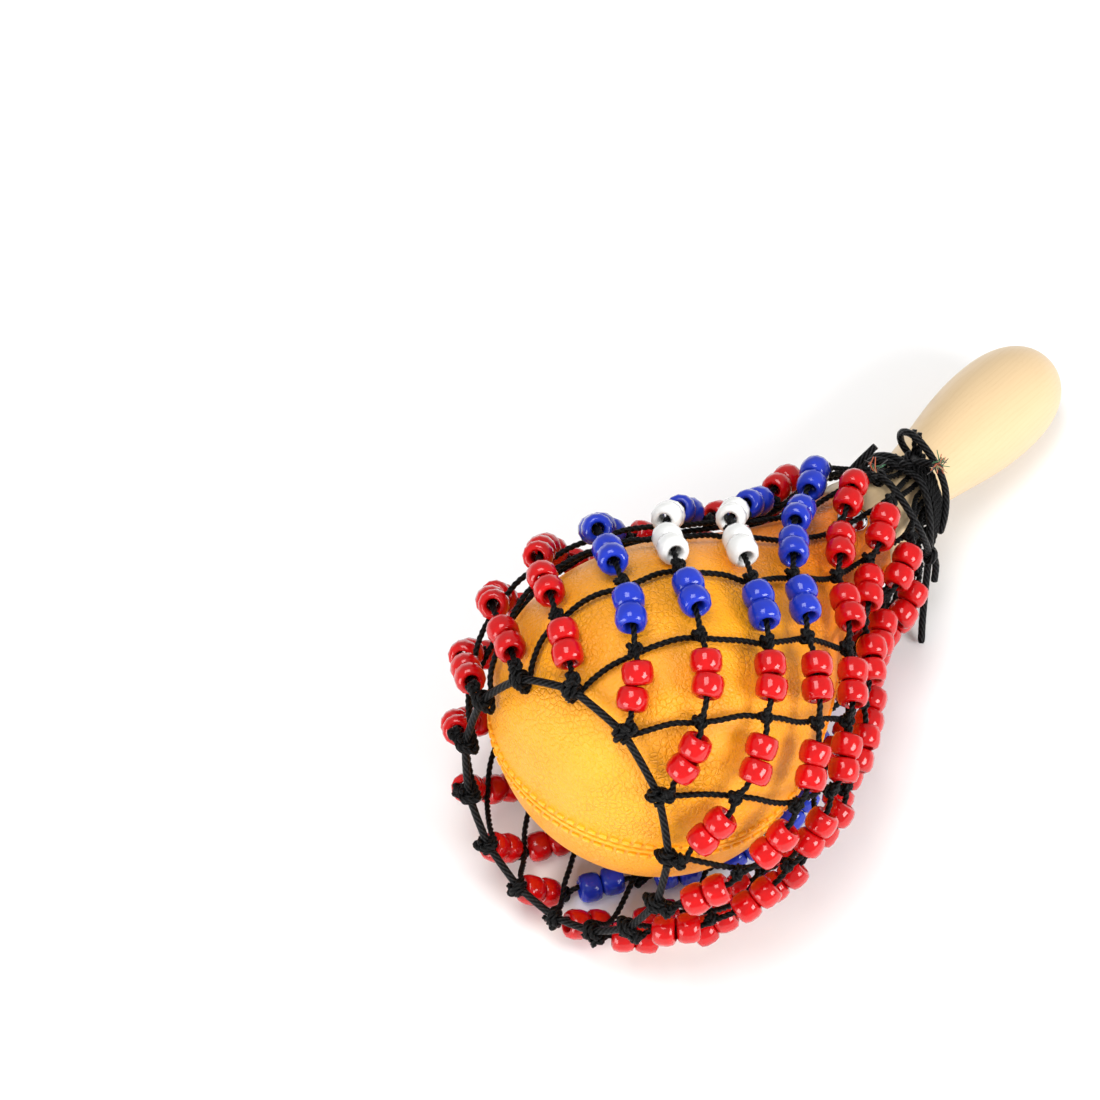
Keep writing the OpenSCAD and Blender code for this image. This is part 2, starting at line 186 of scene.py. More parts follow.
# Heights above the head, and the lowest places above the table
CORD_OFF = 1.3 * MM
KNOT_OFF = 4.2 * MM
BEAD_OFF = 4.55 * MM
RING_OFF = 3.7 * MM
HITCH_OFF = 7.05 * MM
BEAD_LOW = 4.5 * MM
KNOT_LOW = 1.9 * MM
NET_FLOOR = BEAD_LOW + BEAD_OFF

# How limp cords lie: places of a plain leg between two knots and how far they stray, and places of
# the ring between two strands and how far these pull it straight
PLAIN_PLACES = (0.34, 0.66)
PLAIN_BOW = 0.6 * MM
PLAIN_BOWS = (0.5, 1.3)
PLAIN_SWAY = 0.04
PLAIN_CROOK = 0.07
RING_SHARES = (1 / 3, 2 / 3)
RING_PULL = 0.5

# Strands around the ring, tacks on the neck, and pairs of beads on a leg
HITCH_RADIUS = 2.4 * MM
HITCH_TURNS = (45, 90, 135)
TACK_AT = 128 * MM
TACK_TURN = -12
TACK_REACH = 18 * MM
TACK_AIR = 0.2 * MM
BEAD_GAP = 0.06 * MM
BEAD_RUN = 7.33 * MM
BEAD_SHARE = 0.15

# The tie on the waist
TIE_FROM = 157 * MM
TIE_PITCH = 2.7 * MM
TIE_TURNS = 2
TIE_STEPS = 24
TIE_SHORT = 1
TIE_CLEAR = 3.3 * MM
LEG_LIFT = 1.1 * MM
LEG_MARGIN = 1 * MM
LEG_STEPS = 3
LEG_END = 1.2 * MM

# Routes of the two tails of the drawstring after they leave the winding, in millimetres behind
# the middle of the head's widest section
HEAD_MIDDLE = CROWN + CROWN_LENGTH * MM * Vector((math.cos(TILT), 0, 0))
HEAD_MIDDLE.z = 0
LONG_TAIL = ((114.8, -9, 42.4), (111.6, -13.6, 39.4), (108.2, -17, 33), (105.2, -19, 24.5),
             (101.8, -20.8, 14.5), (97.4, -23.4, 6), (92.6, -26.6, 1.5))
LOOP_TAIL = ((121.9, 3.4, 44.2), (121.9, 4.3, 47.7), (121.5, 3, 51.1), (121, 0, 53.1),
             (120.5, -3.6, 52.9), (120.1, -7.2, 50.7), (119.9, -9.9, 47.6), (119.7, -12.2, 43.9),
             (119, -14.2, 39.8), (117.6, -15.7, 35.4), (115.6, -16.7, 31), (113, -17.3, 27))
TAIL_STEPS = 4

# Loose ends around the tie, in the same millimetres: two cut cords side by side, a stiff end of
# the drawstring, an end that frays, the knot on the long tail with its short end, and a knot that
# frays
PAIR_END = ((121.3, -2.2, 43.2), (122.6, -1.2, 46), (124.6, 0.5, 50))
STIFF_END = ((103.2, 9.9, 43.6), (108, 8.2, 47.6), (112.6, 6.4, 51))
FRAYED_END = ((119.4, -2.5, 44.6), (117.2, -5.4, 48.4), (117.4, -10.4, 51.2))
TAIL_KNOT = (105.6, -18.8, 25.8)
SHORT_END = ((106.4, -19.8, 25.6), (106.2, -21, 22), (104.6, -21.9, 16.4))
FRAYED_KNOT = (106.8, 1.7, 46.4)

# A length of the drawstring that crosses the neck from one small knot to the other, and cords of
# the net that are gathered from the top of the waist down to the knot on the long tail, as
# distances behind the crown, reaches from the axis and angles
CROSSING = ((146.9, 16.6, 6), (145, 18.4, -14), (143.6, 19, -36), (144.4, 19, -62),
            (147.4, 19, -86), (150.4, 19.3, -104))
GATHERED = ((160.5, 15.8, -8), (159, 16.7, -32), (157, 16.6, -55), (154.5, 16.8, -80),
            (152.2, 17.9, -99), (150.9, 19.2, -108))
GATHERED_CORDS = 3


def by_row(values, j):
    """A value of a list that has one entry a row, at any place between the rows."""
    return float(np.interp(j, range(ROWS + 1), values))


def layer_radius(s, t, off):
    """Radius of a layer that lies a height off above the head."""
    if t < s.crown:
        return (s.head / 2 + off) * math.sqrt(1 - ((s.crown - t) / (s.crown + off)) ** 2)
    body = head_radius(s, t)
    if abs(t - TACK_AT) < TACK_REACH:
        body = max(body, tack_seat(s) + s.tack_height + TACK_AIR)
    return body + off * math.sqrt(1 + head_slope(s, t) ** 2)


def tack_seat(s):
    """Distance from the axis to the foot of a tack's cap."""
    return head_radius(s, TACK_AT - s.tack / 2)


def crowded(angle):
    """The strands lie further apart on top than below."""
    return angle + CROWDING * math.sin(math.radians(angle))


def net_point(s, angle, j, off, low):
    """Point of the net at an angle from the top, at row j and at a height above the head."""
    b = math.radians(crowded(angle))
    t = by_row(ROW_SHARE, j) * s.shell
    near = layer_radius(s, t, off)
    wide = near + by_row(SIDE_SLACK, j) * MM
    floor = (CROWN.z + t * AXIS.z - NET_FLOOR) / math.cos(TILT)
    below = floor + by_row(FLOOR_SLACK, j) * MM + off
    forward = by_row(FRONT_SLACK, j) * MM * (1 - math.cos(b))
    rise = (near - below) / 2 + (near + below) / 2 * math.cos(b)
    p = on_axis(t - forward) + rise * UP + wide * math.sin(b) * SIDE
    p.z = max(p.z, low)
    return p


def strand_turn(k, j):
    """Angle of strand k at row j of its beaded leg, without its wander."""
    return (FIRST_STRAND - k + BEAD_LEAN * j) * PITCH


def knot_turn(k, j):
    """Angle of the knot of strand k at row j."""
    strand = (k - 1 + STRANDS) % STRANDS + 1
    wander = math.sin(math.radians(WANDER_BY_STRAND * strand + WANDER_BY_ROW * j))
    return strand_turn(k, j) + by_row(KNOT_WANDER, j) * wander


def knot_point(s, k, j):
    """Middle of the knot of strand k at row j."""
    return net_point(s, knot_turn(k, j), j, KNOT_OFF if j > 0 else HITCH_OFF, KNOT_LOW)


def under_knot(s, k, j):
    """Place of the plain leg that passes under the knot of strand k at row j."""
    return net_point(s, knot_turn(k, j), j, CORD_OFF, by_row(PLAIN_LOW, j) * MM)


def bead_pair(s, k, j):
    """Middle and direction of the two beads between rows j - 1 and j."""
    mid = (knot_turn(k, j) + knot_turn(k, j - 1)) / 2
    lean = knot_turn(k, j) - knot_turn(k, j - 1)
    off = BEAD_OFF + by_row(BEAD_LIFT, j - 0.5) * MM
    near = net_point(s, mid - BEAD_SHARE * lean, j - 0.5 - BEAD_SHARE, off, BEAD_LOW)
    far = net_point(s, mid + BEAD_SHARE * lean, j - 0.5 + BEAD_SHARE, off, BEAD_LOW)
    along = (far - near).normalized()
    centre = (near + far) / 2
    middle = (knot_point(s, k, j - 1) + knot_point(s, k, j)) / 2
    return centre + along * (middle - centre).dot(along), along


# The rhombs: strands from one to the next, first strand, and size in pairs of beads
MOTIF_STRANDS = 7
MOTIF_FIRST = 4
MOTIF_SIZE = 4


def bead_colour(k, j):
    """Two rhombs of blue filled with white lie on a red ground."""
    q = (k - MOTIF_FIRST + STRANDS) % MOTIF_STRANDS
    r = j - q - 2
    if q >= MOTIF_SIZE or r < 0 or r >= MOTIF_SIZE:
        return "red"
    edge = q % (MOTIF_SIZE - 1) == 0 or r % (MOTIF_SIZE - 1) == 0
    return "blue" if edge else "white"


def tie_leg(s, angle):
    """A leg's end on the waist, under the winding."""
    start = TIE_FROM - LEG_MARGIN
    last = TIE_FROM + TIE_TURNS * TIE_PITCH
    places = [start + (last + LEG_MARGIN - start) * i / LEG_STEPS for i in range(LEG_STEPS)]
    places.append(last + LEG_END)
    way = radial(crowded(angle))
    return [on_axis(t) + (handle_radius(s, t - s.shell) + LEG_LIFT) * way for t in places]


def beaded_leg(s, k):
    """Points of the beaded leg of strand k, from the waist up to the first row."""
    points = tie_leg(s, strand_turn(k, ROWS) + PITCH / 4)[::-1]
    for j in range(ROWS, 0, -1):
        centre, along = bead_pair(s, k, j)
        points += [knot_point(s, k, j), centre + BEAD_RUN * along, centre, centre - BEAD_RUN * along]
    return points


def ring_point(s, k):
    """Place of the ring cord where strand k hangs from it, also between two strands."""
    return net_point(s, strand_turn(k, 0), 0, RING_OFF, 0)


def hitch(s, k):
    """Points of strand k around the ring cord, after its knot above the ring."""
    centre = ring_point(s, k)
    out = (knot_point(s, k, 0) - centre).normalized()
    turns = [math.radians(b) for b in HITCH_TURNS]
    around = [centre + HITCH_RADIUS * (math.cos(b) * out - math.sin(b) * AXIS) for b in turns]
    return [knot_point(s, k, 0)] + around


def plain_leg(s, k, chance):
    """Points of the plain leg of strand k, which crosses under the knots of its neighbours.

    It lies a little crooked between the knots, as limp cord does.
    """
    points = [under_knot(s, k, 0)]
    for j in range(1, ROWS + 1):
        near, far = knot_turn(k + j - 1, j - 1), knot_turn(k + j, j)
        for share in PLAIN_PLACES:
            place = j - 1 + share
            low = by_row(PLAIN_LOW, place) * MM
            off = CORD_OFF + PLAIN_BOW * chance.uniform(*PLAIN_BOWS)
            angle = near + (far - near) * (share + chance.uniform(-PLAIN_SWAY, PLAIN_SWAY))
            place += chance.uniform(-PLAIN_CROOK, PLAIN_CROOK)
            points.append(net_point(s, angle, place, off, low))
        points.append(under_knot(s, k + j, j))
    return points + tie_leg(s, strand_turn(k + ROWS, ROWS) - PITCH / 4)


def ring_points(s):
    """Points of the ring cord around the crown, three a strand."""
    ties = [ring_point(s, 1 - i) for i in range(STRANDS)]
    points = []
    for i, (here, ahead) in enumerate(zip(ties, ties[1:] + ties[:1])):
        points.append(here)
        for share in RING_SHARES:
            points.append(ring_point(s, 1 - i - share).lerp(here.lerp(ahead, share), RING_PULL))
    return points


def winding(s):
    """Points of the drawstring around the waist."""
    points = []
    for i in range(TIE_TURNS * TIE_STEPS + 1 - TIE_SHORT):
        t = TIE_FROM + TIE_PITCH * i / TIE_STEPS
        reach = handle_radius(s, t - s.shell) + TIE_CLEAR
        points.append(on_axis(t) + reach * radial(360 * i / TIE_STEPS))
    return points


def from_head(place):
    """A point given in millimetres behind the middle of the head's widest section."""
    return HEAD_MIDDLE + Vector(place) * MM


def tail_route(s, last, before, route):
    """Points of a tail of the drawstring, from the end of the winding through its own route."""
    way = (last - before).normalized()
    start = last + s.drawstring * way
    points = [start + s.drawstring * way] + [from_head(p) for p in route]
    ends = [points[1] - 2 * (points[1] - points[0]).length * way] + points
    ends.append(2 * points[-1] - points[-2])
    line = [start]
    for i in range(len(points) - 1):
        line += [smooth(ends[i:i + 4], EVEN_KNOTS, n / TAIL_STEPS) for n in range(TAIL_STEPS)]
    return line + [points[-1]]


# Lines and ropes: steps of a smooth line from point to point, its knots when they are evenly spaced
# and the power of the distances that spaces them otherwise, and how steep an upright line is
SPLINE_STEPS = 24
EVEN_KNOTS = (-1, 0, 1, 2)
SPLINE_POWER = 0.5
UPRIGHT = 0.9


def lengths(line, power=1):
    """Length along a line up to each of its points, or the sum of a power of its steps."""
    return np.concatenate([[0], np.cumsum(np.linalg.norm(np.diff(line, axis=0), axis=1) ** power)])


def between(t, start, a, end, b):
    """The value at t on the way from a at start to b at end."""
    return ((end - t) * a + (t - start) * b) / (end - start)


def smooth(p, knots, t):
    """Place t of a smooth line through four points, each at its knot, from the second to the third."""
    a = [between(t, knots[i], p[i], knots[i + 1], p[i + 1]) for i in range(3)]
    b = [between(t, knots[i], a[i], knots[i + 2], a[i + 1]) for i in range(2)]
    return between(t, knots[1], b[0], knots[2], b[1])


def spaced(points, step, closed=False):
    """Points at even distances on a smooth line through the given ones."""
    p = np.array([list(q) for q in points])
    if closed:
        p = np.vstack([p[-1], p, p[:2]])
    else:
        p = np.vstack([2 * p[0] - p[1], p, 2 * p[-1] - p[-2]])
    knots = lengths(p, SPLINE_POWER)
    dense = []
    for i in range(len(p) - 3):
        t = np.linspace(knots[i + 1], knots[i + 2], SPLINE_STEPS, endpoint=False)[:, None]
        dense.append(smooth(p[i:i + 4], knots[i:i + 4], t))
    dense = np.vstack(dense + [p[-2]])
    run = lengths(dense)
    count = max(int(round(run[-1] / step)), 3)
    places = np.linspace(0, run[-1], count + 1)
    if closed:
        places = places[:-1]
    return np.column_stack([np.interp(places, run, dense[:, c]) for c in range(3)])


def carried(line, closed):
    """Two directions across the line at each point, carried along it without turning."""
    along = np.gradient(line, axis=0)
    if closed:
        along = np.roll(line, -1, axis=0) - np.roll(line, 1, axis=0)
    along /= np.linalg.norm(along, axis=1)[:, None]
    first = np.zeros_like(line)
    start = np.cross(along[0], (0, 0, 1) if abs(along[0][2]) < UPRIGHT else (1, 0, 0))
    first[0] = start / np.linalg.norm(start)
    for i in range(1, len(line)):
        v = first[i - 1] - np.dot(first[i - 1], along[i]) * along[i]
        first[i] = v / np.linalg.norm(v)
    second = np.cross(along, first)
    if closed:
        slip = math.atan2(np.dot(first[-1], second[0]), np.dot(first[-1], first[0]))
        back = -slip * np.arange(len(line))[:, None] / (len(line) - 1)
        first, second = (np.cos(back) * first + np.sin(back) * second,
                         np.cos(back) * second - np.sin(back) * first)
    return first, second


class MeshDraft:
    """Points, faces and surface coordinates of one piece, gathered before its mesh is made."""

    def __init__(self):
        self.points = []
        self.faces = []
        self.surface = []
        self.count = 0

    def add(self, points, faces, surface=None):
        """Adds a closed form. Its surface coordinates, if it needs any, are listed face by face."""
        self.points.append(np.asarray(points))
        self.faces += [[i + self.count for i in face] for face in faces]
        self.surface += surface or [(0.0, 0.0)] * sum(len(face) for face in faces)
        self.count += len(points)

    def rope(self, line, radii, spin=0.0, closed=False, tint=None):
        """A rope along the line. radii has a row of radii for each point, and spin its turn there.

        Surface coordinates: the length along the rope in millimetres, and the turn around its
        middle or one tint for the whole rope.
        """
        count, sides = radii.shape
        first, second = carried(line, closed)
        angle = (np.zeros(count) + spin)[:, None] + FULL_TURN * np.arange(sides)[None, :] / sides
        out = np.cos(angle)[..., None] * first[:, None, :] + np.sin(angle)[..., None] * second[:, None, :]
        points = list((line[:, None, :] + radii[..., None] * out).reshape(-1, 3))
        run, around = lengths(line) / MM, angle / FULL_TURN
        if closed:
            run = np.append(run, run[-1] * 2 - run[-2])
            around = np.vstack([around, around[-1] * 2 - around[-2]])
        faces, surface = [], []
        for i in range(len(run) - 1):
            n = (i + 1) % count
            for m in range(sides):
                o = (m + 1) % sides
                faces.append([i * sides + m, i * sides + o, n * sides + o, n * sides + m])
                for ring, step in ((i, 0), (i, 1), (i + 1, 1), (i + 1, 0)):
                    surface.append((run[ring], around[ring, m] + step / sides))
        if not closed:
            for i, order in ((0, -1), (count - 1, 1)):
                points.append(line[i])
                for m in range(sides):
                    rim = [i * sides + m, i * sides + (m + 1) % sides][::order]
                    faces.append(rim + [len(points) - 1])
                    surface += [(run[i], around[i, m])] * 3
        if tint is not None:
            surface = [(length, tint) for length, turn in surface]
        self.add(points, faces, surface)

    def stamp(self, form, place, turn):
        """Adds a copy of a modelled form, turned and moved to its place."""
        points, faces = form
        self.add([list(place + turn @ Vector(p)) for p in points], faces)

    def make(self, name, look, body, slot, *nodes):
        """Makes and dresses the piece, smooth all over, its surface coordinates as a UV map."""
        mesh = bpy.data.meshes.new(name)
        mesh.from_pydata(np.vstack(self.points).tolist(), [], self.faces)
        layer = mesh.uv_layers.new(name="surface")
        layer.data.foreach_set("uv", np.array(self.surface, np.float32).ravel())
        mesh.polygons.foreach_set("use_smooth", [True] * len(mesh.polygons))
        mesh.update()
        obj = bpy.data.objects.new(name, mesh)
        bpy.context.scene.collection.objects.link(obj)
        return dress(obj, look, body, slot, *nodes)


def fitting_lay(line, run, lay, parts, closed):
    """The lay of a cord, changed a little on a closed line so that whole turns of its parts fit."""
    if not closed:
        return lay
    whole = run[-1] + np.linalg.norm(line[0] - line[-1])
    return whole / (max(round(whole / lay * parts), 1) / parts)


# A twisted cord: its plies, their place and radius in radii of the cord, sides, lay and step
PLIES = 3
PLY_SHIFT = 0.47
PLY_RADIUS = 0.53
PLY_SIDES = 4
PLY_LAY = 5.4 * MM
ROPE_STEP = 0.5 * MM


def twisted(draft, points, diameter, closed=False):
    """Adds a cord of three twisted plies through points, or along a line of even steps."""
    line = points if isinstance(points, np.ndarray) else spaced(points, ROPE_STEP, closed)
    part = np.radians(np.arange(PLY_SIDES) * 360 / PLIES / PLY_SIDES - 180 / PLIES)
    ply = PLY_SHIFT * np.cos(part) + np.sqrt(PLY_RADIUS ** 2 - (PLY_SHIFT * np.sin(part)) ** 2)
    section = np.tile(ply, PLIES) * diameter / 2
    run = lengths(line)
    lay = fitting_lay(line, run, PLY_LAY, PLIES, closed)
    draft.rope(line, np.tile(section, (len(line), 1)), run / lay * FULL_TURN, closed)


# A braided cord: sides, yarns each way, lay, depth of the relief and step
BRAID_SIDES = 24
BRAID_STRANDS = 6
BRAID_LAY = 4.2 * MM
BRAID_DEPTH = 0.035
BRAID_STEP = 0.45 * MM


def braided(draft, points, diameter, closed=False, tip=None):
    """Adds a smooth cord with a braided sheath. tip gives the widths of its last rings."""
    line = spaced(points, BRAID_STEP, closed)
    run = lengths(line)
    lay = fitting_lay(line, run, BRAID_LAY, 1, closed)
    angle = FULL_TURN * np.arange(BRAID_SIDES)[None, :] / BRAID_SIDES
    climb = (run / lay * FULL_TURN)[:, None]
    over = np.sin(BRAID_STRANDS * angle + climb) * np.sin(BRAID_STRANDS * angle - climb)
    radii = diameter / 2 * (1 - BRAID_DEPTH + BRAID_DEPTH * over)
    if tip is not None:
        radii[-len(tip):] *= np.array(tip)[:, None]
    draft.rope(line, radii, closed=closed)
    return line


# Steps of an overhand knot
KNOT_STEPS = 60


def overhand(centre, first, second, out, reach, height, step):
    """Points of a knot that is drawn tight: a trefoil that lies across the direction out."""
    turn = np.linspace(0, FULL_TURN, KNOT_STEPS, endpoint=False)
    x = (np.sin(turn) + 2 * np.sin(2 * turn)) / 3 * reach
    y = (np.cos(turn) - 2 * np.cos(2 * turn)) / 3 * reach
    z = -np.sin(3 * turn) * height
    line = np.array(centre) + x[:, None] * np.array(first) + y[:, None] * np.array(second)
    return spaced(list(line + z[:, None] * np.array(out)), step, closed=True)


# Modelling by hand
def start_fresh():
    """Leaves edit mode and deselects everything."""
    if bpy.context.object and bpy.context.object.mode != "OBJECT":
        bpy.ops.object.mode_set(mode="OBJECT")
    bpy.ops.object.select_all(action="DESELECT")


def turned(name, outline, centre, axis, steps):
    """Draws an outline point by point and spins it around an axis into a closed or open form."""
    start_fresh()
    bpy.ops.mesh.primitive_plane_add(size=MM, location=(0, 0, 0))
    obj = bpy.context.object
    obj.name = obj.data.name = name
    bpy.ops.object.mode_set(mode="EDIT")
    bpy.ops.mesh.merge(type="CENTER")
    bpy.ops.transform.translate(value=outline[0])
    for before, after in zip(outline, outline[1:]):
        bpy.ops.mesh.extrude_region_move(TRANSFORM_OT_translate={"value": after - before})
    bpy.ops.mesh.select_all(action="SELECT")
    bpy.ops.mesh.spin(steps=steps, angle=FULL_TURN, center=centre, axis=axis)
    bpy.ops.mesh.select_all(action="SELECT")
    bpy.ops.mesh.remove_doubles(threshold=MM / 100)
    bpy.ops.mesh.normals_make_consistent(inside=False)
    bpy.ops.object.mode_set(mode="OBJECT")
    bpy.ops.object.shade_smooth()
    while obj.data.uv_layers:
        obj.data.uv_layers.remove(obj.data.uv_layers[0])
    return obj


def face_away(obj, centre, axis):
    """Turns the faces of an open form so that they point away from an axis."""
    lean = 0
    for face in obj.data.polygons:
        out = face.center - centre
        lean += face.normal.dot(out - out.dot(axis) * axis) * face.area
    if lean < 0:
        obj.data.flip_normals()


def copy_of(obj, name):
    """A copy of a piece with its own mesh."""
    twin = obj.copy()
    twin.data = obj.data.copy()
    twin.name = twin.data.name = name
    bpy.context.scene.collection.objects.link(twin)
    return twin


def make_active(obj):
    """Selects one piece alone."""
    start_fresh()
    obj.select_set(True)
    bpy.context.view_layer.objects.active = obj


def form_of(obj):
    """Points and faces of a modelled template, and the template is removed."""
    points = np.array([v.co[:] for v in obj.data.vertices])
    faces = [list(f.vertices) for f in obj.data.polygons]
    bpy.data.meshes.remove(obj.data)
    return points, faces


def dress(obj, look, body, slot, *nodes):
    """A piece gets its finish, rides on its body and stands for the CAD nodes that it shows."""
    obj.data.materials.append(finish(look))
    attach(obj, body)
    if nodes:
        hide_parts(*nodes)
    return obj


# Finishes
class Finish:
    """A material with procedural nodes, built step by step."""

    def __init__(self, name, **surface):
        self.material = bpy.data.materials.new(name)
        self.material.use_nodes = True
        self.tree = self.material.node_tree
        self.shader = self.tree.nodes["Principled BSDF"]
        self.surface(**surface)
        place = self.tree.nodes.new("ShaderNodeTexCoord").outputs
        self.where, self.uv = place["Object"], place["UV"]

    def feed(self, socket, value):
        """Sets a socket to a value, or links an output to it."""
        if isinstance(value, bpy.types.NodeSocket):
            self.tree.links.new(value, socket)
        else:
            socket.default_value = value

    def surface(self, **sockets):
        """Sets or links sockets of the shader."""
        for socket, value in sockets.items():
            self.feed(self.shader.inputs[socket.replace("_", " ")], value)

    def node(self, kind, settings=None, **sockets):
        """Adds a node. A socket has a name, or a number after an i, and takes a value or an output."""
        made = self.tree.nodes.new("ShaderNode" + kind)
        for key, value in (settings or {}).items():
            setattr(made, key, value)
        for socket, value in sockets.items():
            self.feed(made.inputs[int(socket[1:]) if socket[1:].isdigit() else socket], value)
        return made

    def math(self, operation, a, b=0.0):
        """One step of arithmetic with one or two values."""
        return self.node("Math", {"operation": operation}, i0=a, i1=b).outputs[0]

    def total(self, first, second):
        """Sum of two values, each with its weight."""
        return self.math("ADD", self.math("MULTIPLY", *first), self.math("MULTIPLY", *second))

    def ramp(self, value, *stops, blend="LINEAR"):
        """Maps a value to a grey or a colour by stops of (place, colour)."""
        made = self.node("ValToRGB", Fac=value)
        made.color_ramp.interpolation = blend
        elements = made.color_ramp.elements
        while len(elements) < len(stops):
            elements.new(0.5)
        for element, (place, colour) in zip(elements, stops):
            element.position = place
            element.color = (*colour, 1) if isinstance(colour, tuple) else (colour, colour, colour, 1)
        return made.outputs["Color"]

    def mix(self, share, a, b):
        """A colour between two colours."""
        return self.node("Mix", {"data_type": "RGBA"}, i0=share, i6=a, i7=b).outputs[2]

    def blend(self, value, low, high, a, b):
        """A colour that goes from one to the other while a value goes from low to high."""
        return self.mix(self.ramp(value, (low, 0.0), (high, 1.0)), a, b)

    def noise(self, scale, detail=3.0, roughness=0.5, where=None):
        """Cloudy noise between 0 and 1, in object coordinates or in others."""
        made = self.node("TexNoise", Vector=self.where if where is None else where,
                         Scale=scale, Detail=detail, Roughness=roughness)
        return made.outputs["Fac"]

    def axes(self, vector):
        """The three numbers of a vector."""
        return self.node("SeparateXYZ", Vector=vector).outputs

    def stretched(self, vector, scale):
        """Coordinates stretched by scale."""
        return self.node("Mapping", Vector=vector, Scale=scale).outputs[0]

    def turned_to_axis(self, scale=(1, 1, 1)):
        """Object coordinates with x along the maraca's axis from the crown, stretched by scale."""
        moved = self.node(
            "Mapping", {"vector_type": "POINT"}, Vector=self.where,
            Location=-(Matrix.Rotation(-TILT, 3, "Y") @ CROWN), Rotation=(0, -TILT, 0))
        return self.stretched(moved.outputs[0], scale)

    def done(self, colour, gloss, relief):
        """The material with its colour, gloss and relief.

        gloss is a value with the roughness at its low and its high end, and relief a height with
        its depth in metres and its strength.
        """
        value, low, high = gloss
        height, depth, strength = relief
        bump = self.node("Bump", Height=height, Distance=depth, Strength=strength)
        rough = self.node("MapRange", Value=value, i3=low, i4=high)
        self.surface(Base_Color=colour, Roughness=rough.outputs[0], Normal=bump.outputs[0])
        return self.material


def shade(colour, factor):
    """A colour made darker or lighter, with full opacity."""
    return (*[min(c * factor, 1) for c in colour], 1)


def shades(colour, *factors):
    """Several shades of a colour."""
    return [shade(colour, factor) for factor in factors]


# Painted shade and a painted red reflection of the beads: the amber turns darker and redder towards the
# neck, between two distances behind the crown
NECK_SHADE_GREEN = 0.62
NECK_SHADE_FADE = ((0.060, 0.0), (0.110, 1.0))


def leatherette(name, colour, tone, depth):
    """Moulded amber plastic with a leather grain of a given depth, painted shade in the grain's valleys,
    and painted shade with a painted red bead reflection towards the neck.
    """
    f = Finish(name, Specular_IOR_Level=0.45)
    wobble = f.node("TexNoise", Vector=f.where, Scale=900.0, Detail=2.0).outputs["Color"]
    bent = f.node("MixRGB", {"blend_type": "ADD"}, Fac=0.0006, Color1=f.where, Color2=wobble).outputs[0]
    cells = f.node("TexVoronoi", {"feature": "DISTANCE_TO_EDGE"}, Vector=bent, Scale=620.0)
    pebble = f.ramp(cells.outputs["Distance"], (0.0, 0.0), (0.12, 0.7), (0.4, 1.0))
    patchy = f.ramp(f.noise(55.0, 2.0), (0.38, 0.15), (0.62, 0.75))
    grain = f.total((pebble, patchy), (f.noise(1000.0, 3.0, 0.6), 1.3))
    # Painted shade and painted red bead reflection at the neck: the amber with its green lowered
    red, green, blue = colour
    deep = shade((red, NECK_SHADE_GREEN * green, blue), tone)
    pale = f.blend(f.noise(45.0, 3.0, 0.55), 0.3, 0.7, *shades(colour, 0.95 * tone, 1.05 * tone))
    base = f.mix(f.ramp(f.axes(f.turned_to_axis())[0], *NECK_SHADE_FADE), pale, deep)
    # Painted shade in the valleys of the grain, where the pebbles meet, darkens the amber a little
    grain_valley_shade = f.mix(f.ramp(pebble, (0.0, 0.16), (0.6, 0.0)), base, shade(colour, 0.80 * tone))
    return f.done(grain_valley_shade, (grain, 0.20, 0.36), (grain, depth, 1.0))


def turned_wood(name, colour):
    """Pale straight-grained wood under a satin lacquer."""
    f = Finish(name, Coat_Weight=0.25, Coat_Roughness=0.25, Specular_IOR_Level=0.4)
    across, upward = f.axes(f.turned_to_axis())[1:]
    layers = f.total((across, 0.86), (upward, 0.51))
    drift = f.noise(1.0, 2.0, where=f.turned_to_axis((14, 60, 60)))
    line = f.math("FRACT", f.total((layers, 720.0), (drift, 5.0)))
    late = f.ramp(line, (0.0, 0.15), (0.55, 0.05), (0.88, 1.0), (1.0, 0.15))
    fibre = f.noise(1.0, 3.0, 0.6, f.turned_to_axis((60, 2600, 2600)))
    patch = f.noise(1.0, 2.0, where=f.turned_to_axis((12, 50, 50)))
    pale = f.blend(patch, 0.3, 0.7, *shades(colour, 0.97, 1.05))
    lined = f.mix(f.math("MULTIPLY", late, 0.09), pale, (0.48, 0.29, 0.13, 1))
    fleck = f.mix(f.ramp(fibre, (0.52, 0.0), (0.72, 0.14)), lined, (0.50, 0.32, 0.16, 1))
    return f.done(fleck, (fibre, 0.34, 0.46), (f.total((fibre, 1.0), (late, 0.3)), 0.00005, 0.35))


def bead_plastic(name, colour, deep):
    """Glossy moulded plastic with a faint mottle and the rings that the mould leaves at the ends."""
    f = Finish(name, Specular_IOR_Level=0.45)
    cloud = f.noise(420.0, 2.0)
    base = f.blend(cloud, 0.3, 0.75, *shades(colour, deep, 1.04))
    along = f.axes(f.uv)[1]
    rings = f.math("SINE", f.math("MULTIPLY", along, 70.0))
    ends = f.ramp(along, (0.0, 1.0), (0.22, 0.0), (0.78, 0.0), (1.0, 1.0))
    scuff = f.noise(1500.0, 3.0, 0.6)
    return f.done(base, (scuff, 0.05, 0.13), (f.total((rings, ends), (cloud, 0.8)), 0.00006, 0.35))


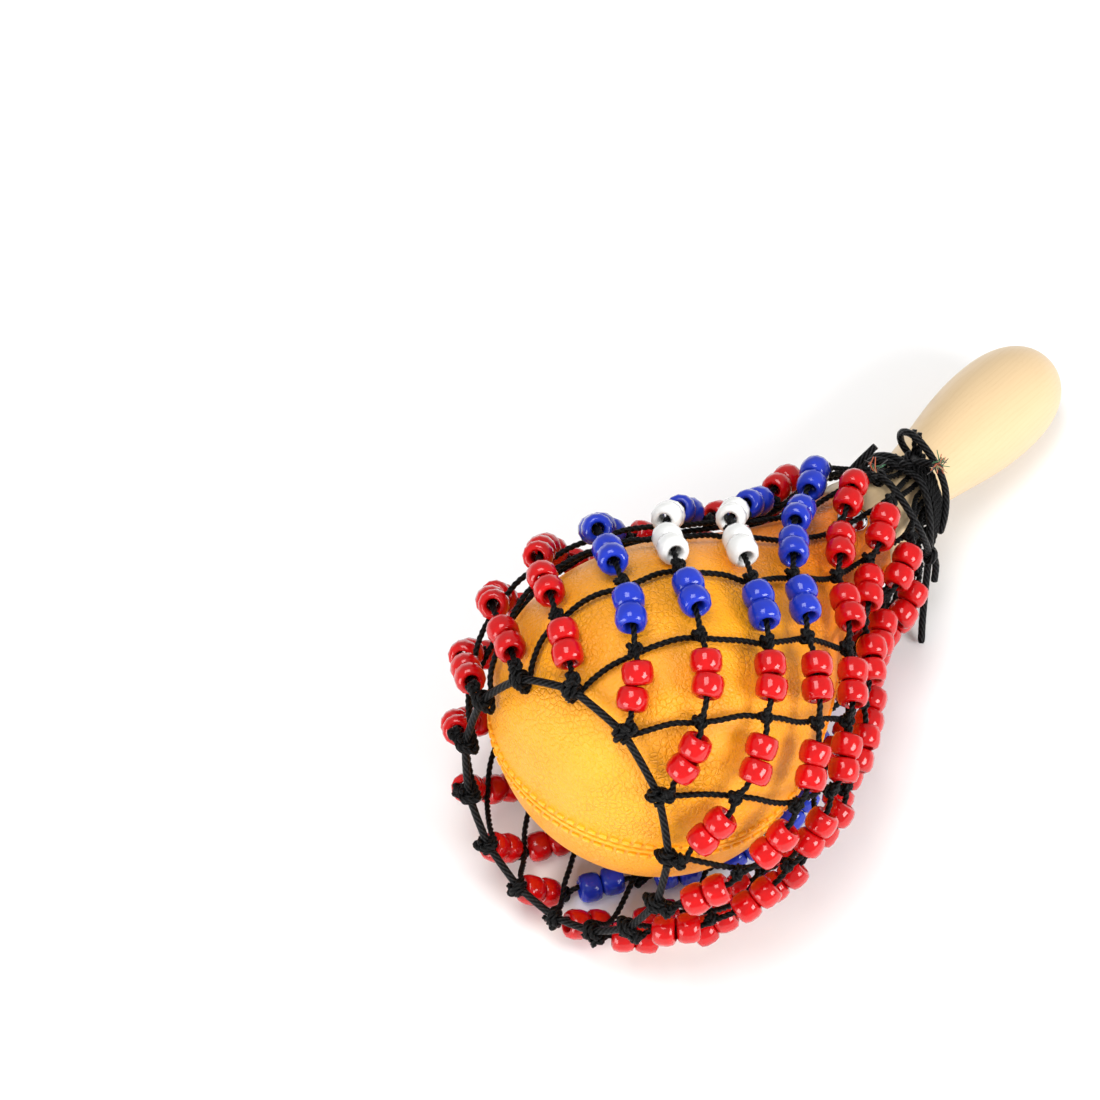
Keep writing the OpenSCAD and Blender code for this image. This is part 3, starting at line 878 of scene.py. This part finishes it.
def cord_fibres(name, colour):
    """Black polyester filaments on the plies of a twisted cord, with painted shade between the plies and
    a painted highlight on their crests.
    """
    f = Finish(name, Sheen_Weight=0.02, Sheen_Roughness=0.35, Specular_IOR_Level=0.10)
    length, turn = f.axes(f.uv)[:2]
    ply = f.math("SUBTRACT", turn, f.math("DIVIDE", length, PLY_LAY / MM))
    groove = f.math("COSINE", f.math("MULTIPLY", ply, FULL_TURN * PLIES))
    crest = f.node("MapRange", Value=groove, i1=-1.0, i2=1.0, i3=1.0, i4=0.0).outputs[0]
    fibre = f.noise(1.0, 3.0, 0.65, f.stretched(f.uv, (1.6, 34.0, 1.0)))
    # Painted highlight on the crests of the plies, flecked by the filaments, and painted shade in the
    # grooves between them
    painted_crest_highlight = f.blend(fibre, 0.35, 0.75, *shades(colour, 1.5, 9.0))
    base = f.blend(crest, 0.25, 0.9, shade(colour, 0.2), painted_crest_highlight)
    return f.done(base, (fibre, 0.22, 0.38), (fibre, 0.00014, 0.9))


def cord_braid(name, colour):
    """A braided sheath: two sets of yarns that cross around the cord, with painted shade between the
    yarns and a painted highlight on them.
    """
    f = Finish(name, Sheen_Weight=0.02, Sheen_Roughness=0.4, Specular_IOR_Level=0.07)
    length, turn = f.axes(f.uv)[:2]
    climb = f.math("MULTIPLY", length, FULL_TURN / (BRAID_LAY / MM) * 2)
    around = f.math("MULTIPLY", turn, FULL_TURN * BRAID_STRANDS)
    right = f.math("SINE", f.math("ADD", around, climb))
    left = f.math("SINE", f.math("SUBTRACT", around, climb))
    yarn = f.total((right, 0.75), (left, 0.25))
    fibre = f.noise(1.0, 3.0, 0.6, f.stretched(f.uv, (2.2, 40.0, 1.0)))
    relief = f.total((yarn, 0.6), (fibre, 1.0))
    # Painted shade where the relief is low and a painted highlight where it is high, from a fifth to
    # fourteen times the black
    base = f.blend(relief, 0.35, 1.0, *shades(colour, 0.2, 14.0))
    return f.done(base, (fibre, 0.22, 0.38), (relief, 0.00014, 0.8))


def frayed_yarn(name):
    """Loose yarns of a cord's core, green, orange, undyed and black, yarn by yarn."""
    f = Finish(name, Roughness=0.6, Sheen_Weight=0.3)
    colour = f.ramp(f.axes(f.uv)[1], (0.0, (0.005, 0.17, 0.05)), (0.34, (0.60, 0.10, 0.02)),
                    (0.66, (0.50, 0.38, 0.18)), (0.82, (0.015, 0.015, 0.015)), blend="CONSTANT")
    cloud = f.math("MULTIPLY", f.noise(1800.0, 2.0), 0.5)
    f.surface(Base_Color=f.mix(cloud, colour, (0.05, 0.04, 0.03, 1)))
    return f.material


def chrome(name, colour):
    """Polished plating with faint rubbed marks."""
    f = Finish(name, Metallic=1.0)
    rubbed = f.noise(700.0, 3.0, 0.6)
    base = f.mix(rubbed, *shades(colour, 0.9, 1.06))
    return f.done(base, (rubbed, 0.04, 0.16), (f.noise(260.0, 2.0), 0.00005, 0.3))


def pellet_plastic(name, colour):
    """Plain moulded plastic, speckled."""
    f = Finish(name)
    speck = f.noise(900.0, 3.0)
    return f.done(f.mix(speck, *shades(colour, 0.7, 1.3)), (speck, 0.4, 0.6), (speck, 0.00008, 0.4))


def studio_floor(name, colour):
    """A pale matte floor."""
    f = Finish(name, Roughness=0.7)
    f.surface(Base_Color=f.mix(f.noise(3.0, 2.0), *shades(colour, 0.985, 1.0)))
    return f.material


def finish(name):
    """The finish of that name, made when it is first asked for."""
    colours = bpy.context.scene.maraca_colours
    known = bpy.data.materials.get(name)
    if known and known.get("maraca"):
        return known
    if known:
        known.name = name + "_cad"
    make, *options = {
        "amber_leatherette": (leatherette, colours.head, 1.0, 0.00042),
        # The seam's ridge and stitches: the same amber lightened by a tenth as a painted highlight on
        # their raised tops, with a shallower grain
        "amber_stitch": (leatherette, colours.head, 1.1, 0.00010),
        "turned_wood": (turned_wood, colours.wood),
        "tack_chrome": (chrome, colours.chrome),
        "pellet_plastic": (pellet_plastic, colours.pellet),
        "red_bead": (bead_plastic, colours.red, 0.86),
        "blue_bead": (bead_plastic, colours.blue, 0.86),
        "white_bead": (bead_plastic, colours.white, 0.97),
        "twisted_cord": (cord_fibres, colours.cord),
        "braided_cord": (cord_braid, colours.cord),
        "frayed_yarn": (frayed_yarn,),
        "studio_floor": (studio_floor, colours.floor),
    }[name]
    made = make(name, *options)
    made["maraca"] = True
    return made


# Camera, after the photograph: heading and elevation, distance, focal length and the aim
PHOTO_PIXELS = 1100
PHOTO_FOCUS = 3248.7
PHOTO_MIDDLE = (776.6, 602.5)
CAMERA_HEADING = 37.59
CAMERA_ELEVATION = 57.0
CAMERA_DISTANCE = 0.9232
SENSOR = 36.0

# The studio: its floor in metres, the strength of the even white surround, and the softboxes with
# their places from the middle of the maraca, sizes in metres and powers in watts
FLOOR_SIDES = 96
FLOOR_RADIUS = 2.4
FLOOR_THICKNESS = 0.01
SURROUND = 0.52
SOFTBOXES = (
    ("softbox_crown", (-1.10, 0.12, 0.26), (0.60, 0.50), 6.8),
    ("softbox_side", (0.05, -1.05, 0.55), (0.70, 0.50), 12.8),
    ("softbox_top", (-0.15, 0.15, 1.25), (0.80, 0.60), 10.0))


class MARACA_OT_stage(bpy.types.Operator):
    """Add the pale floor, the soft lights and the camera"""

    bl_idname = "maraca.stage"
    bl_label = "Stage"

    def execute(self, context):
        start_fresh()
        self.floor()
        look = Vector(TWIST["pos_m"])
        self.camera(look)
        self.lights(look)
        return {"FINISHED"}

    def floor(self):
        """A wide round slab whose top lies at the height of the table."""
        bpy.ops.mesh.primitive_circle_add(
            vertices=FLOOR_SIDES, radius=FLOOR_RADIUS, fill_type="NGON", location=(0, 0, 0))
        floor = bpy.context.object
        floor.name = "studio_floor"
        bpy.ops.object.mode_set(mode="EDIT")
        bpy.ops.mesh.extrude_region_move(TRANSFORM_OT_translate={"value": (0, 0, -FLOOR_THICKNESS)})
        bpy.ops.mesh.select_all(action="SELECT")
        bpy.ops.mesh.normals_make_consistent(inside=False)
        bpy.ops.object.mode_set(mode="OBJECT")
        floor.data.materials.append(finish("studio_floor"))

    def camera(self, look):
        """The camera stands where the photograph was taken and aims at the middle of its frame."""
        heading, rise = math.radians(CAMERA_HEADING), math.radians(CAMERA_ELEVATION)
        ahead = Vector((
            math.cos(rise) * math.cos(heading), math.cos(rise) * math.sin(heading), -math.sin(rise)))
        right = Vector((math.sin(heading), -math.cos(heading), 0))
        upward = right.cross(ahead)
        place = look - CAMERA_DISTANCE * ahead
        middle = PHOTO_PIXELS / 2
        aim = (ahead + (middle - PHOTO_MIDDLE[0]) / PHOTO_FOCUS * right
               + (PHOTO_MIDDLE[1] - middle) / PHOTO_FOCUS * upward).normalized()
        right = aim.cross(upward).normalized()
        upward = right.cross(aim)
        data = bpy.data.cameras.new("photo_camera")
        data.sensor_width = SENSOR
        data.lens = PHOTO_FOCUS * SENSOR / PHOTO_PIXELS
        camera = bpy.data.objects.new("photo_camera", data)
        turn = Matrix((right, upward, -aim)).transposed().to_4x4()
        camera.matrix_world = Matrix.Translation(place) @ turn
        bpy.context.scene.collection.objects.link(camera)
        bpy.context.scene.camera = camera

    def lights(self, look):
        """Softboxes before the crown, beside the handle and overhead, and an even white surround."""
        for name, place, size, power in SOFTBOXES:
            offset = Vector(place)
            data = bpy.data.lights.new(name, "AREA")
            data.shape = "RECTANGLE"
            data.size, data.size_y = size
            data.energy = power
            lamp = bpy.data.objects.new(name, data)
            lamp.location = look + offset
            lamp.rotation_mode = "QUATERNION"
            lamp.rotation_quaternion = (-offset).to_track_quat("-Z", "Y")
            bpy.context.scene.collection.objects.link(lamp)
        scene = bpy.context.scene
        world = bpy.data.worlds.new("studio")
        world.use_nodes = True
        background = world.node_tree.nodes["Background"].inputs
        background["Color"].default_value = (1.0, 1.0, 1.0, 1.0)
        background["Strength"].default_value = SURROUND
        scene.world = world
        scene.view_settings.view_transform = "Standard"


class MARACA_OT_drawstring(bpy.types.Operator):
    """Wind the drawstring around the waist, lay its two tails and add the loose ends"""

    bl_idname = "maraca.drawstring"
    bl_label = "Drawstring"

    # Widths of the last rings of a tail, whose end is melted
    melted = (1.0, 1.02, 0.98, 0.85, 0.6)
    # Reach and height of each knot, and how far the closing knot sits above the winding
    closing_knot = (2.7 * MM, 1.3 * MM)
    closing_lift = 1.6 * MM
    pair_knot = (2.1 * MM, 1 * MM)
    small_knot = (2.3 * MM, 1.2 * MM)
    # How much closer the gathered cords lie at their lower end, and how unevenly in millimetres
    narrowing = 0.7
    uneven = 0.3
    # Yarns of the two tufts, the place and direction of the tuft on the knot, and the shape of a
    # yarn, with its lengths and radii in millimetres
    end_yarns = 34
    knot_yarns = 18
    knot_tuft_lift = 1.5 * MM
    knot_tuft_way = (UP + 0.8 * SIDE - 0.4 * AXIS).normalized()
    yarn_spread = 0.36
    yarn_curl = 0.5
    yarn_bend = 0.8
    yarn_root = 1 * MM
    yarn_places = (0.15, 0.5)
    yarn_lengths = (2.5, 6)
    yarn_radii = (0.28, 0.14)
    yarn_sides = 4
    yarn_step = 0.5 * MM

    def execute(self, context):
        s = context.scene.maraca_sizes
        turns = winding(s)
        tails = (
            ("drawstring_tail_long", turns[0], turns[1], LONG_TAIL, "hanging"),
            ("drawstring_tail_loop", turns[-1], turns[-2], LOOP_TAIL, "loose"))
        for name, last, before, route, lay in tails:
            points = tail_route(s, last, before, route)
            draft = MeshDraft()
            line = braided(draft, points, s.drawstring, tip=self.melted)
            tail = draft.make(name + "_cord", "braided_cord", "bead_net", "black_cord", name)
        self.lashing(s, turns)
        self.loose_ends(s, random.Random(s.seed))
        return {"FINISHED"}

    def lashing(self, s, turns):
        """The winding, with the knot that closes it on top."""
        ends = [turns[0] + s.drawstring * (turns[0] - turns[1]).normalized()]
        ends += turns
        ends.append(turns[-1] + s.drawstring * (turns[-1] - turns[-2]).normalized())
        draft = MeshDraft()
        braided(draft, ends, s.drawstring)
        centre = (turns[0] + turns[-1]) / 2 + self.closing_lift * UP
        knot = overhand(centre, AXIS, SIDE, UP, *self.closing_knot, BRAID_STEP)
        braided(draft, list(knot), s.drawstring, closed=True)
        draft.make("waist_lashing", "braided_cord", "bead_net", "black_cord", "neck_lashing")

    def loose_ends(self, s, chance):
        """The cut ends and small knots around the tie, and the yarns that two of them fray into."""
        net, string, yarns = MeshDraft(), MeshDraft(), MeshDraft()
        beside = AXIS.cross(UP) * s.net_cord / 2
        for way in (-1, 1):
            twisted(net, [from_head(p) + way * beside for p in PAIR_END], s.net_cord)
        knot = overhand(from_head(PAIR_END[0]), AXIS, SIDE, UP, *self.pair_knot, ROPE_STEP)
        twisted(net, knot, s.net_cord, closed=True)
        for n in range(GATHERED_CORDS):
            apart = (n - (GATHERED_CORDS - 1) / 2) * s.net_cord
            line = []
            for i, (t, reach, angle) in enumerate(GATHERED):
                narrow = 1 - self.narrowing * i / (len(GATHERED) - 1)
                place = on_axis(t * MM + apart * narrow) + reach * MM * radial(angle)
                line.append(place + chance.uniform(-self.uneven, self.uneven) * MM * UP)
            twisted(net, line, s.net_cord)
        tail_way = (from_head(LONG_TAIL[3]) - from_head(LONG_TAIL[2])).normalized()
        first = tail_way.cross(AXIS).normalized()
        knots = ((TAIL_KNOT, first, tail_way.cross(first), tail_way), (FRAYED_KNOT, AXIS, SIDE, UP))
        for centre, one, two, out in knots:
            line = overhand(from_head(centre), one, two, out, *self.small_knot, BRAID_STEP)
            braided(string, list(line), s.drawstring, closed=True)
        for route in (STIFF_END, FRAYED_END, SHORT_END):
            braided(string, [from_head(p) for p in route], s.drawstring)
        across = [on_axis(t * MM) + reach * MM * radial(angle) for t, reach, angle in CROSSING]
        braided(string, across, s.drawstring)
        way = (Vector(FRAYED_END[-1]) - Vector(FRAYED_END[-2])).normalized()
        self.tuft(yarns, from_head(FRAYED_END[-1]), way, self.end_yarns, chance)
        root = from_head(FRAYED_KNOT) + self.knot_tuft_lift * UP
        self.tuft(yarns, root, self.knot_tuft_way, self.knot_yarns, chance)
        net.make("cut_net_ends", "twisted_cord", "bead_net", "black_cord")
        string.make("cut_string_ends", "braided_cord", "bead_net", "black_cord")
        yarns.make("frayed_tufts", "frayed_yarn", "bead_net", "black_cord")

    def tuft(self, draft, start, way, count, chance):
        """Loose yarns that spread from the end of a cord."""
        for i in range(count):
            spread = Vector([chance.gauss(0, self.yarn_spread) for axis in range(3)])
            curl = Vector([chance.gauss(0, self.yarn_curl) for axis in range(3)])
            length = chance.uniform(*self.yarn_lengths) * MM
            aim = (way + spread).normalized()
            points = [start - self.yarn_root * way]
            points += [start + share * length * aim for share in self.yarn_places]
            points.append(start + length * (aim + self.yarn_bend * curl).normalized())
            line = spaced(points, self.yarn_step)
            widths = np.linspace(*self.yarn_radii, len(line)) * MM
            radii = np.tile(widths[:, None], (1, self.yarn_sides))
            draft.rope(line, radii, tint=chance.random())


class MARACA_OT_head(bpy.types.Operator):
    """Model the two halves of the moulded head, its seam and its stitches"""

    bl_idname = "maraca.head"
    bl_label = "Head"

    crown_steps = 28
    taper_steps = 52
    around = 144
    # The seam: its steps on each side, how they crowd at the crown, and the ridge on it
    seam_steps = 220
    seam_power = 1.6
    ridge_step = 1 * MM
    ridge_radius = 0.6 * MM
    ridge_sides = 8
    # The stitches: pitch, distance of each row above the seam, size of a stitch, its rounding, and
    # the step that finds the slope of the head under it
    stitch_pitch = 3.2 * MM
    stitch_rows = (("stitches_upper", 2.5 * MM), ("stitches_lower", -2.3 * MM))
    stitch_size = (2.3 * MM, 1.15 * MM, 1.5 * MM)
    stitch_rounding = 0.3 * MM
    stitch_segments = 2
    slope_step = 0.2 * MM

    def execute(self, context):
        s = context.scene.maraca_sizes
        whole = turned("head_shell", self.outline(s), CROWN, AXIS, self.around)
        face_away(whole, CROWN, AXIS)
        across = (s.shell * UP - s.seam_drop * AXIS).normalized()
        halves = (("head_upper", "head_shell_upper", 1), ("head_lower", "head_shell_lower", -1))
        for name, node, way in halves:
            half = copy_of(whole, name)
            make_active(half)
            bpy.ops.object.mode_set(mode="EDIT")
            bpy.ops.mesh.select_all(action="SELECT")
            bpy.ops.mesh.bisect(
                plane_co=on_axis(s.shell), plane_no=way * across, clear_inner=True, clear_outer=False)
            bpy.ops.object.mode_set(mode="OBJECT")
            wall = half.modifiers.new("wall", "SOLIDIFY")
            wall.thickness = s.wall
            wall.offset = -1.0
            bpy.ops.object.modifier_apply(modifier=wall.name)
            dress(half, "amber_leatherette", "maraca", "amber_leatherette", node)
        bpy.data.meshes.remove(whole.data)
        self.seam(s)
        return {"FINISHED"}

    def outline(self, s):
        """The head's outline from the crown to the rim."""
        quarters = [math.pi / 2 * i / self.crown_steps for i in range(self.crown_steps)]
        places = [s.crown * (1 - math.cos(a)) for a in quarters]
        taper = s.shell - s.crown
        places += [s.crown + taper * i / self.taper_steps for i in range(self.taper_steps + 1)]
        return [on_axis(t) + head_radius(s, t) * UP for t in places]

    def seam_line(self, s, shift):
        """Points of the seam from rim to rim around the crown, moved up by shift."""
        line = []
        for i in range(-self.seam_steps, self.seam_steps + 1):
            t = s.shell * (abs(i) / self.seam_steps) ** self.seam_power
            drop = -s.seam_drop * (1 - t / s.shell) + shift
            r = head_radius(s, t)
            if r > abs(drop):
                side = math.copysign(math.sqrt(r * r - drop * drop), i)
                line.append(on_axis(t) + drop * UP + side * SIDE)
        return line

    def seam(self, s):
        """A raised ridge along the seam, and a row of moulded stitches on each side of it, in the amber
        lightened as a painted highlight.
        """
        draft = MeshDraft()
        path = spaced(self.seam_line(s, 0), self.ridge_step)
        radii = np.full((len(path), self.ridge_sides), self.ridge_radius)
        draft.rope(path, radii)
        draft.make("seam_ridge", "amber_stitch", "maraca", "amber_leatherette")
        form = self.stitch()
        for name, shift in self.stitch_rows:
            rows = MeshDraft()
            places = spaced(self.seam_line(s, shift), self.stitch_pitch)
            for before, place, after in zip(places, places[1:], places[2:]):
                along = Vector(after - before).normalized()
                out = self.outwards(s, Vector(place))
                turn = Matrix((along, out.cross(along).normalized(), out)).transposed()
                rows.stamp(form, Vector(place), turn)
            rows.make(name, "amber_stitch", "maraca", "amber_leatherette")

    def outwards(self, s, place):
        """Direction square to the head's surface at a place on it."""
        t = (place - CROWN).dot(AXIS)
        away = (place - on_axis(t)).normalized()
        step = self.slope_step
        rise = (head_radius(s, t + step) - head_radius(s, max(t - step, 0))) / (step + min(step, t))
        return (away - rise * AXIS).normalized()

    def stitch(self):
        """One moulded stitch: a low pad with rounded edges."""
        start_fresh()
        bpy.ops.mesh.primitive_cube_add(size=1, location=(0, 0, 0))
        pad = bpy.context.object
        bpy.ops.object.mode_set(mode="EDIT")
        bpy.ops.transform.resize(value=self.stitch_size)
        bpy.ops.mesh.bevel(offset=self.stitch_rounding, offset_type="OFFSET",
                           segments=self.stitch_segments, affect="EDGES")
        bpy.ops.object.mode_set(mode="OBJECT")
        return form_of(pad)


class MARACA_OT_handle(bpy.types.Operator):
    """Turn the wooden handle"""

    bl_idname = "maraca.handle"
    bl_label = "Handle"

    steps = 90
    around = 112

    def execute(self, context):
        s = context.scene.maraca_sizes
        outline = [on_axis(s.shell), on_axis(s.shell) + (s.neck / 2 - s.wall) * UP]
        for i in range(self.steps + 1):
            x = s.handle * math.sin(math.pi / 2 * i / self.steps)
            outline.append(on_axis(s.shell + x) + handle_radius(s, x) * UP)
        handle = turned("turned_handle", outline, CROWN, AXIS, self.around)
        dress(handle, "turned_wood", "maraca", "turned_wood", "handle")
        return {"FINISHED"}


class MARACA_OT_tacks(bpy.types.Operator):
    """Drive the domed tacks into the neck"""

    bl_idname = "maraca.tacks"
    bl_label = "Tacks"

    steps = 10
    around = 40
    lip = 0.25 * MM

    def execute(self, context):
        s = context.scene.maraca_sizes
        rim = s.tack / 2
        cap = (rim ** 2 + s.tack_height ** 2) / (2 * s.tack_height)
        span = math.asin((rim - self.lip) / cap)
        dome = [span * i / self.steps for i in range(self.steps + 1)]
        outline = [(cap * math.sin(a), s.tack_height - cap * (1 - math.cos(a))) for a in dome]
        outline += [(rim, self.lip), (rim, -self.lip), (0, -self.lip)]
        outline = [Vector((r, 0, height)) for r, height in outline]
        form = form_of(turned("tack", outline, (0, 0, 0), (0, 0, 1), self.around))
        draft = MeshDraft()
        for i in range(s.tacks):
            out = radial(TACK_TURN + 360 / s.tacks * i)
            turn = Matrix((AXIS, out.cross(AXIS), out)).transposed()
            draft.stamp(form, on_axis(TACK_AT) + tack_seat(s) * out, turn)
        draft.make("tack_caps", "tack_chrome", "maraca", "tack_chrome", "neck_tacks")
        return {"FINISHED"}


class MARACA_OT_ring(bpy.types.Operator):
    """Lay the braided ring cord around the crown"""

    bl_idname = "maraca.ring"
    bl_label = "Crown ring"

    def execute(self, context):
        s = context.scene.maraca_sizes
        draft = MeshDraft()
        braided(draft, ring_points(s), s.ring_cord, closed=True)
        draft.make("ring_cord", "braided_cord", "bead_net", "black_cord", "crown_ring")
        return {"FINISHED"}


class MARACA_OT_net(bpy.types.Operator):
    """Knot the twisted cords of the net"""

    bl_idname = "maraca.net"
    bl_label = "Net cords"

    # The knots: reach, height, how far they sink onto the plain leg, range of sizes and step
    knot_reach = 1.65 * MM
    knot_height = 0.95 * MM
    knot_sink = 0.7 * MM
    knot_sizes = (0.94, 1.08)
    knot_step = 0.45 * MM
    # The wrap around the ring: turns, steps, the span in strands that gives its direction, how deep
    # it lies on the ring cord, and its width
    wrap_turns = 2.25
    wrap_steps = 40
    wrap_span = 0.1
    wrap_bite = 0.85
    wrap_width = 0.92

    def execute(self, context):
        s = context.scene.maraca_sizes
        chance = random.Random(s.seed)
        for k in range(1, STRANDS + 1):
            draft = MeshDraft()
            twisted(draft, beaded_leg(s, k) + hitch(s, k) + plain_leg(s, k, chance), s.net_cord)
            for j in range(ROWS + 1):
                self.knot(s, draft, k, j, chance)
            self.wrap(s, draft, k)
            name = f"net_cord_{k:02d}"
            draft.make("twisted_" + name, "twisted_cord", "bead_net", "black_cord", name)
        return {"FINISHED"}

    def knot(self, s, draft, k, j, chance):
        """An overhand knot on the beaded leg, drawn down onto the plain leg under it."""
        centre = knot_point(s, k, j)
        out = (centre - under_knot(s, k, j)).normalized()
        centre = centre - self.knot_sink * out
        spin = chance.uniform(0, FULL_TURN)
        reach = self.knot_reach * chance.uniform(*self.knot_sizes)
        first = AXIS.cross(out).normalized()
        second = out.cross(first)
        one = math.cos(spin) * first + math.sin(spin) * second
        two = math.cos(spin) * second - math.sin(spin) * first
        line = overhand(centre, one, two, out, reach, self.knot_height, self.knot_step)
        twisted(draft, line, s.net_cord, closed=True)

    def wrap(self, s, draft, k):
        """The strand is wound around the ring cord before it is knotted."""
        along = ring_point(s, k + self.wrap_span) - ring_point(s, k - self.wrap_span)
        along.normalize()
        centre = ring_point(s, k)
        out = (knot_point(s, k, 0) - centre).normalized()
        out = (out - out.dot(along) * along).normalized()
        across = along.cross(out)
        reach = (s.ring_cord + s.net_cord * self.wrap_bite) / 2
        width = s.net_cord * self.wrap_width
        points = []
        for i in range(self.wrap_steps + 1):
            share = i / self.wrap_steps
            turn = FULL_TURN * self.wrap_turns * share
            shift = (share - 0.5) * self.wrap_turns * width
            way = math.cos(turn) * out + math.sin(turn) * across
            points.append(centre + shift * along + reach * way)
        twisted(draft, points, width)


class MARACA_OT_beads(bpy.types.Operator):
    """Model one bead and thread copies of it on the net"""

    bl_idname = "maraca.beads"
    bl_label = "Beads"

    around = 12
    # How far a bead leans and shifts on its cord
    lean = math.radians(7)
    drift = 0.28 * MM
    # A bead's end: its flat rim in diameters, its shoulder in radii, and heights in half lengths
    flat = 0.085
    shoulder = 0.88
    heights = (0.84, 1.0, 0.82, 0.36)

    def execute(self, context):
        s = context.scene.maraca_sizes
        chance = random.Random(s.seed)
        bead = self.bead(s)
        drafts = {}
        for k in range(1, STRANDS + 1):
            for j in range(1, ROWS + 1):
                draft = drafts.setdefault((bead_colour(k, j), k), MeshDraft())
                self.pair(s, draft, k, j, bead, chance)
        for (colour, k), draft in drafts.items():
            name = f"{colour}_beads_{k:02d}"
            draft.make("glossy_" + name, colour + "_bead", "bead_net", colour + "_bead", name)
        return {"FINISHED"}

    def bead(self, s):
        """A barrel with rounded ends, a flat rim and a hole, and its surface coordinates."""
        hole, outer, half = s.bead_hole / 2, s.bead / 2, s.bead_length / 2
        reaches = (hole, hole + self.flat * s.bead, outer * self.shoulder, outer)
        rim = list(zip(reaches, self.heights))
        outline = [Vector((r, 0, -share * half)) for r, share in rim]
        outline += [Vector((r, 0, share * half)) for r, share in rim[::-1]]
        outline.append(outline[0])
        points, faces = form_of(turned("bead", outline, (0, 0, 0), (0, 0, 1), self.around))
        return points, faces, self.surface(s, points, faces)

    def surface(self, s, points, faces):
        """Surface coordinates of the bead: the turn around it and the share of its length."""
        places = []
        for face in faces:
            turns = [math.atan2(points[i][1], points[i][0]) / FULL_TURN for i in face]
            for i, turn in zip(face, turns):
                if max(turns) - turn > 0.5:
                    turn += 1
                places.append((turn, points[i][2] / s.bead_length + 0.5))
        return places

    def pair(self, s, draft, k, j, bead, chance):
        """Two beads on the leg between two knots."""
        points, faces, surface = bead
        centre, along = bead_pair(s, k, j)
        turn = along.to_track_quat("Z", "Y").to_matrix()
        for way in (-1, 1):
            place = centre + way * (s.bead_length + BEAD_GAP) / 2 * along
            slant = chance.gauss(0, self.lean)
            shift = Vector((chance.gauss(0, self.drift), chance.gauss(0, self.drift), 0))
            spin = turn @ Matrix.Rotation(chance.uniform(0, FULL_TURN), 3, "Z")
            spin = spin @ Matrix.Rotation(slant, 3, "X")
            out = place - on_axis((place - CROWN).dot(AXIS))
            clear = abs(slant) * s.bead_length / 2 * out.normalized()
            form = points @ np.array(spin).T + np.array(place + turn @ shift + clear)
            form[:, 2] += max(0, -form[:, 2].min())
            draft.add(form, faces, surface)


class MARACA_OT_pellets(bpy.types.Operator):
    """Finish the loose pellets inside the head"""

    bl_idname = "maraca.pellets"
    bl_label = "Pellets"

    def execute(self, context):
        mesh = frame["nodes"]["rattle_pellets"].data
        mesh.materials.clear()
        mesh.materials.append(finish("pellet_plastic"))
        return {"FINISHED"}


OPERATORS = (
    MARACA_OT_stage, MARACA_OT_drawstring, MARACA_OT_head, MARACA_OT_handle, MARACA_OT_tacks,
    MARACA_OT_ring, MARACA_OT_net, MARACA_OT_beads, MARACA_OT_pellets)


class MARACA_PT_build(bpy.types.Panel):
    """Lists the pieces of the maraca and their sizes and colours"""

    bl_idname = "MARACA_PT_build"
    bl_label = "Beaded Maraca"
    bl_space_type = "VIEW_3D"
    bl_region_type = "UI"
    bl_category = "Maraca"

    def draw(self, context):
        for operator in OPERATORS:
            self.layout.operator(operator.bl_idname)
        for group in (context.scene.maraca_sizes, context.scene.maraca_colours):
            box = self.layout.box()
            for key in group.bl_rna.properties.keys():
                if key not in ("rna_type", "name"):
                    box.prop(group, key)


CLASSES = (MaracaSizes, MaracaColours, *OPERATORS, MARACA_PT_build)


def register():
    """Registers the classes and gives the scene its sizes and colours."""
    for cls in CLASSES:
        bpy.utils.register_class(cls)
    bpy.types.Scene.maraca_sizes = PointerProperty(type=MaracaSizes)
    bpy.types.Scene.maraca_colours = PointerProperty(type=MaracaColours)


def unregister():
    """Takes everything that register added away again."""
    del bpy.types.Scene.maraca_colours
    del bpy.types.Scene.maraca_sizes
    for cls in reversed(CLASSES):
        bpy.utils.unregister_class(cls)


def main():
    """Builds the pieces in order."""
    register()
    bpy.ops.maraca.stage()
    bpy.ops.maraca.drawstring()
    bpy.ops.maraca.head()
    bpy.ops.maraca.handle()
    bpy.ops.maraca.tacks()
    bpy.ops.maraca.ring()
    bpy.ops.maraca.net()
    bpy.ops.maraca.beads()
    bpy.ops.maraca.pellets()
    bpy.context.view_layer.update()


if __name__ == "__main__":
    main()
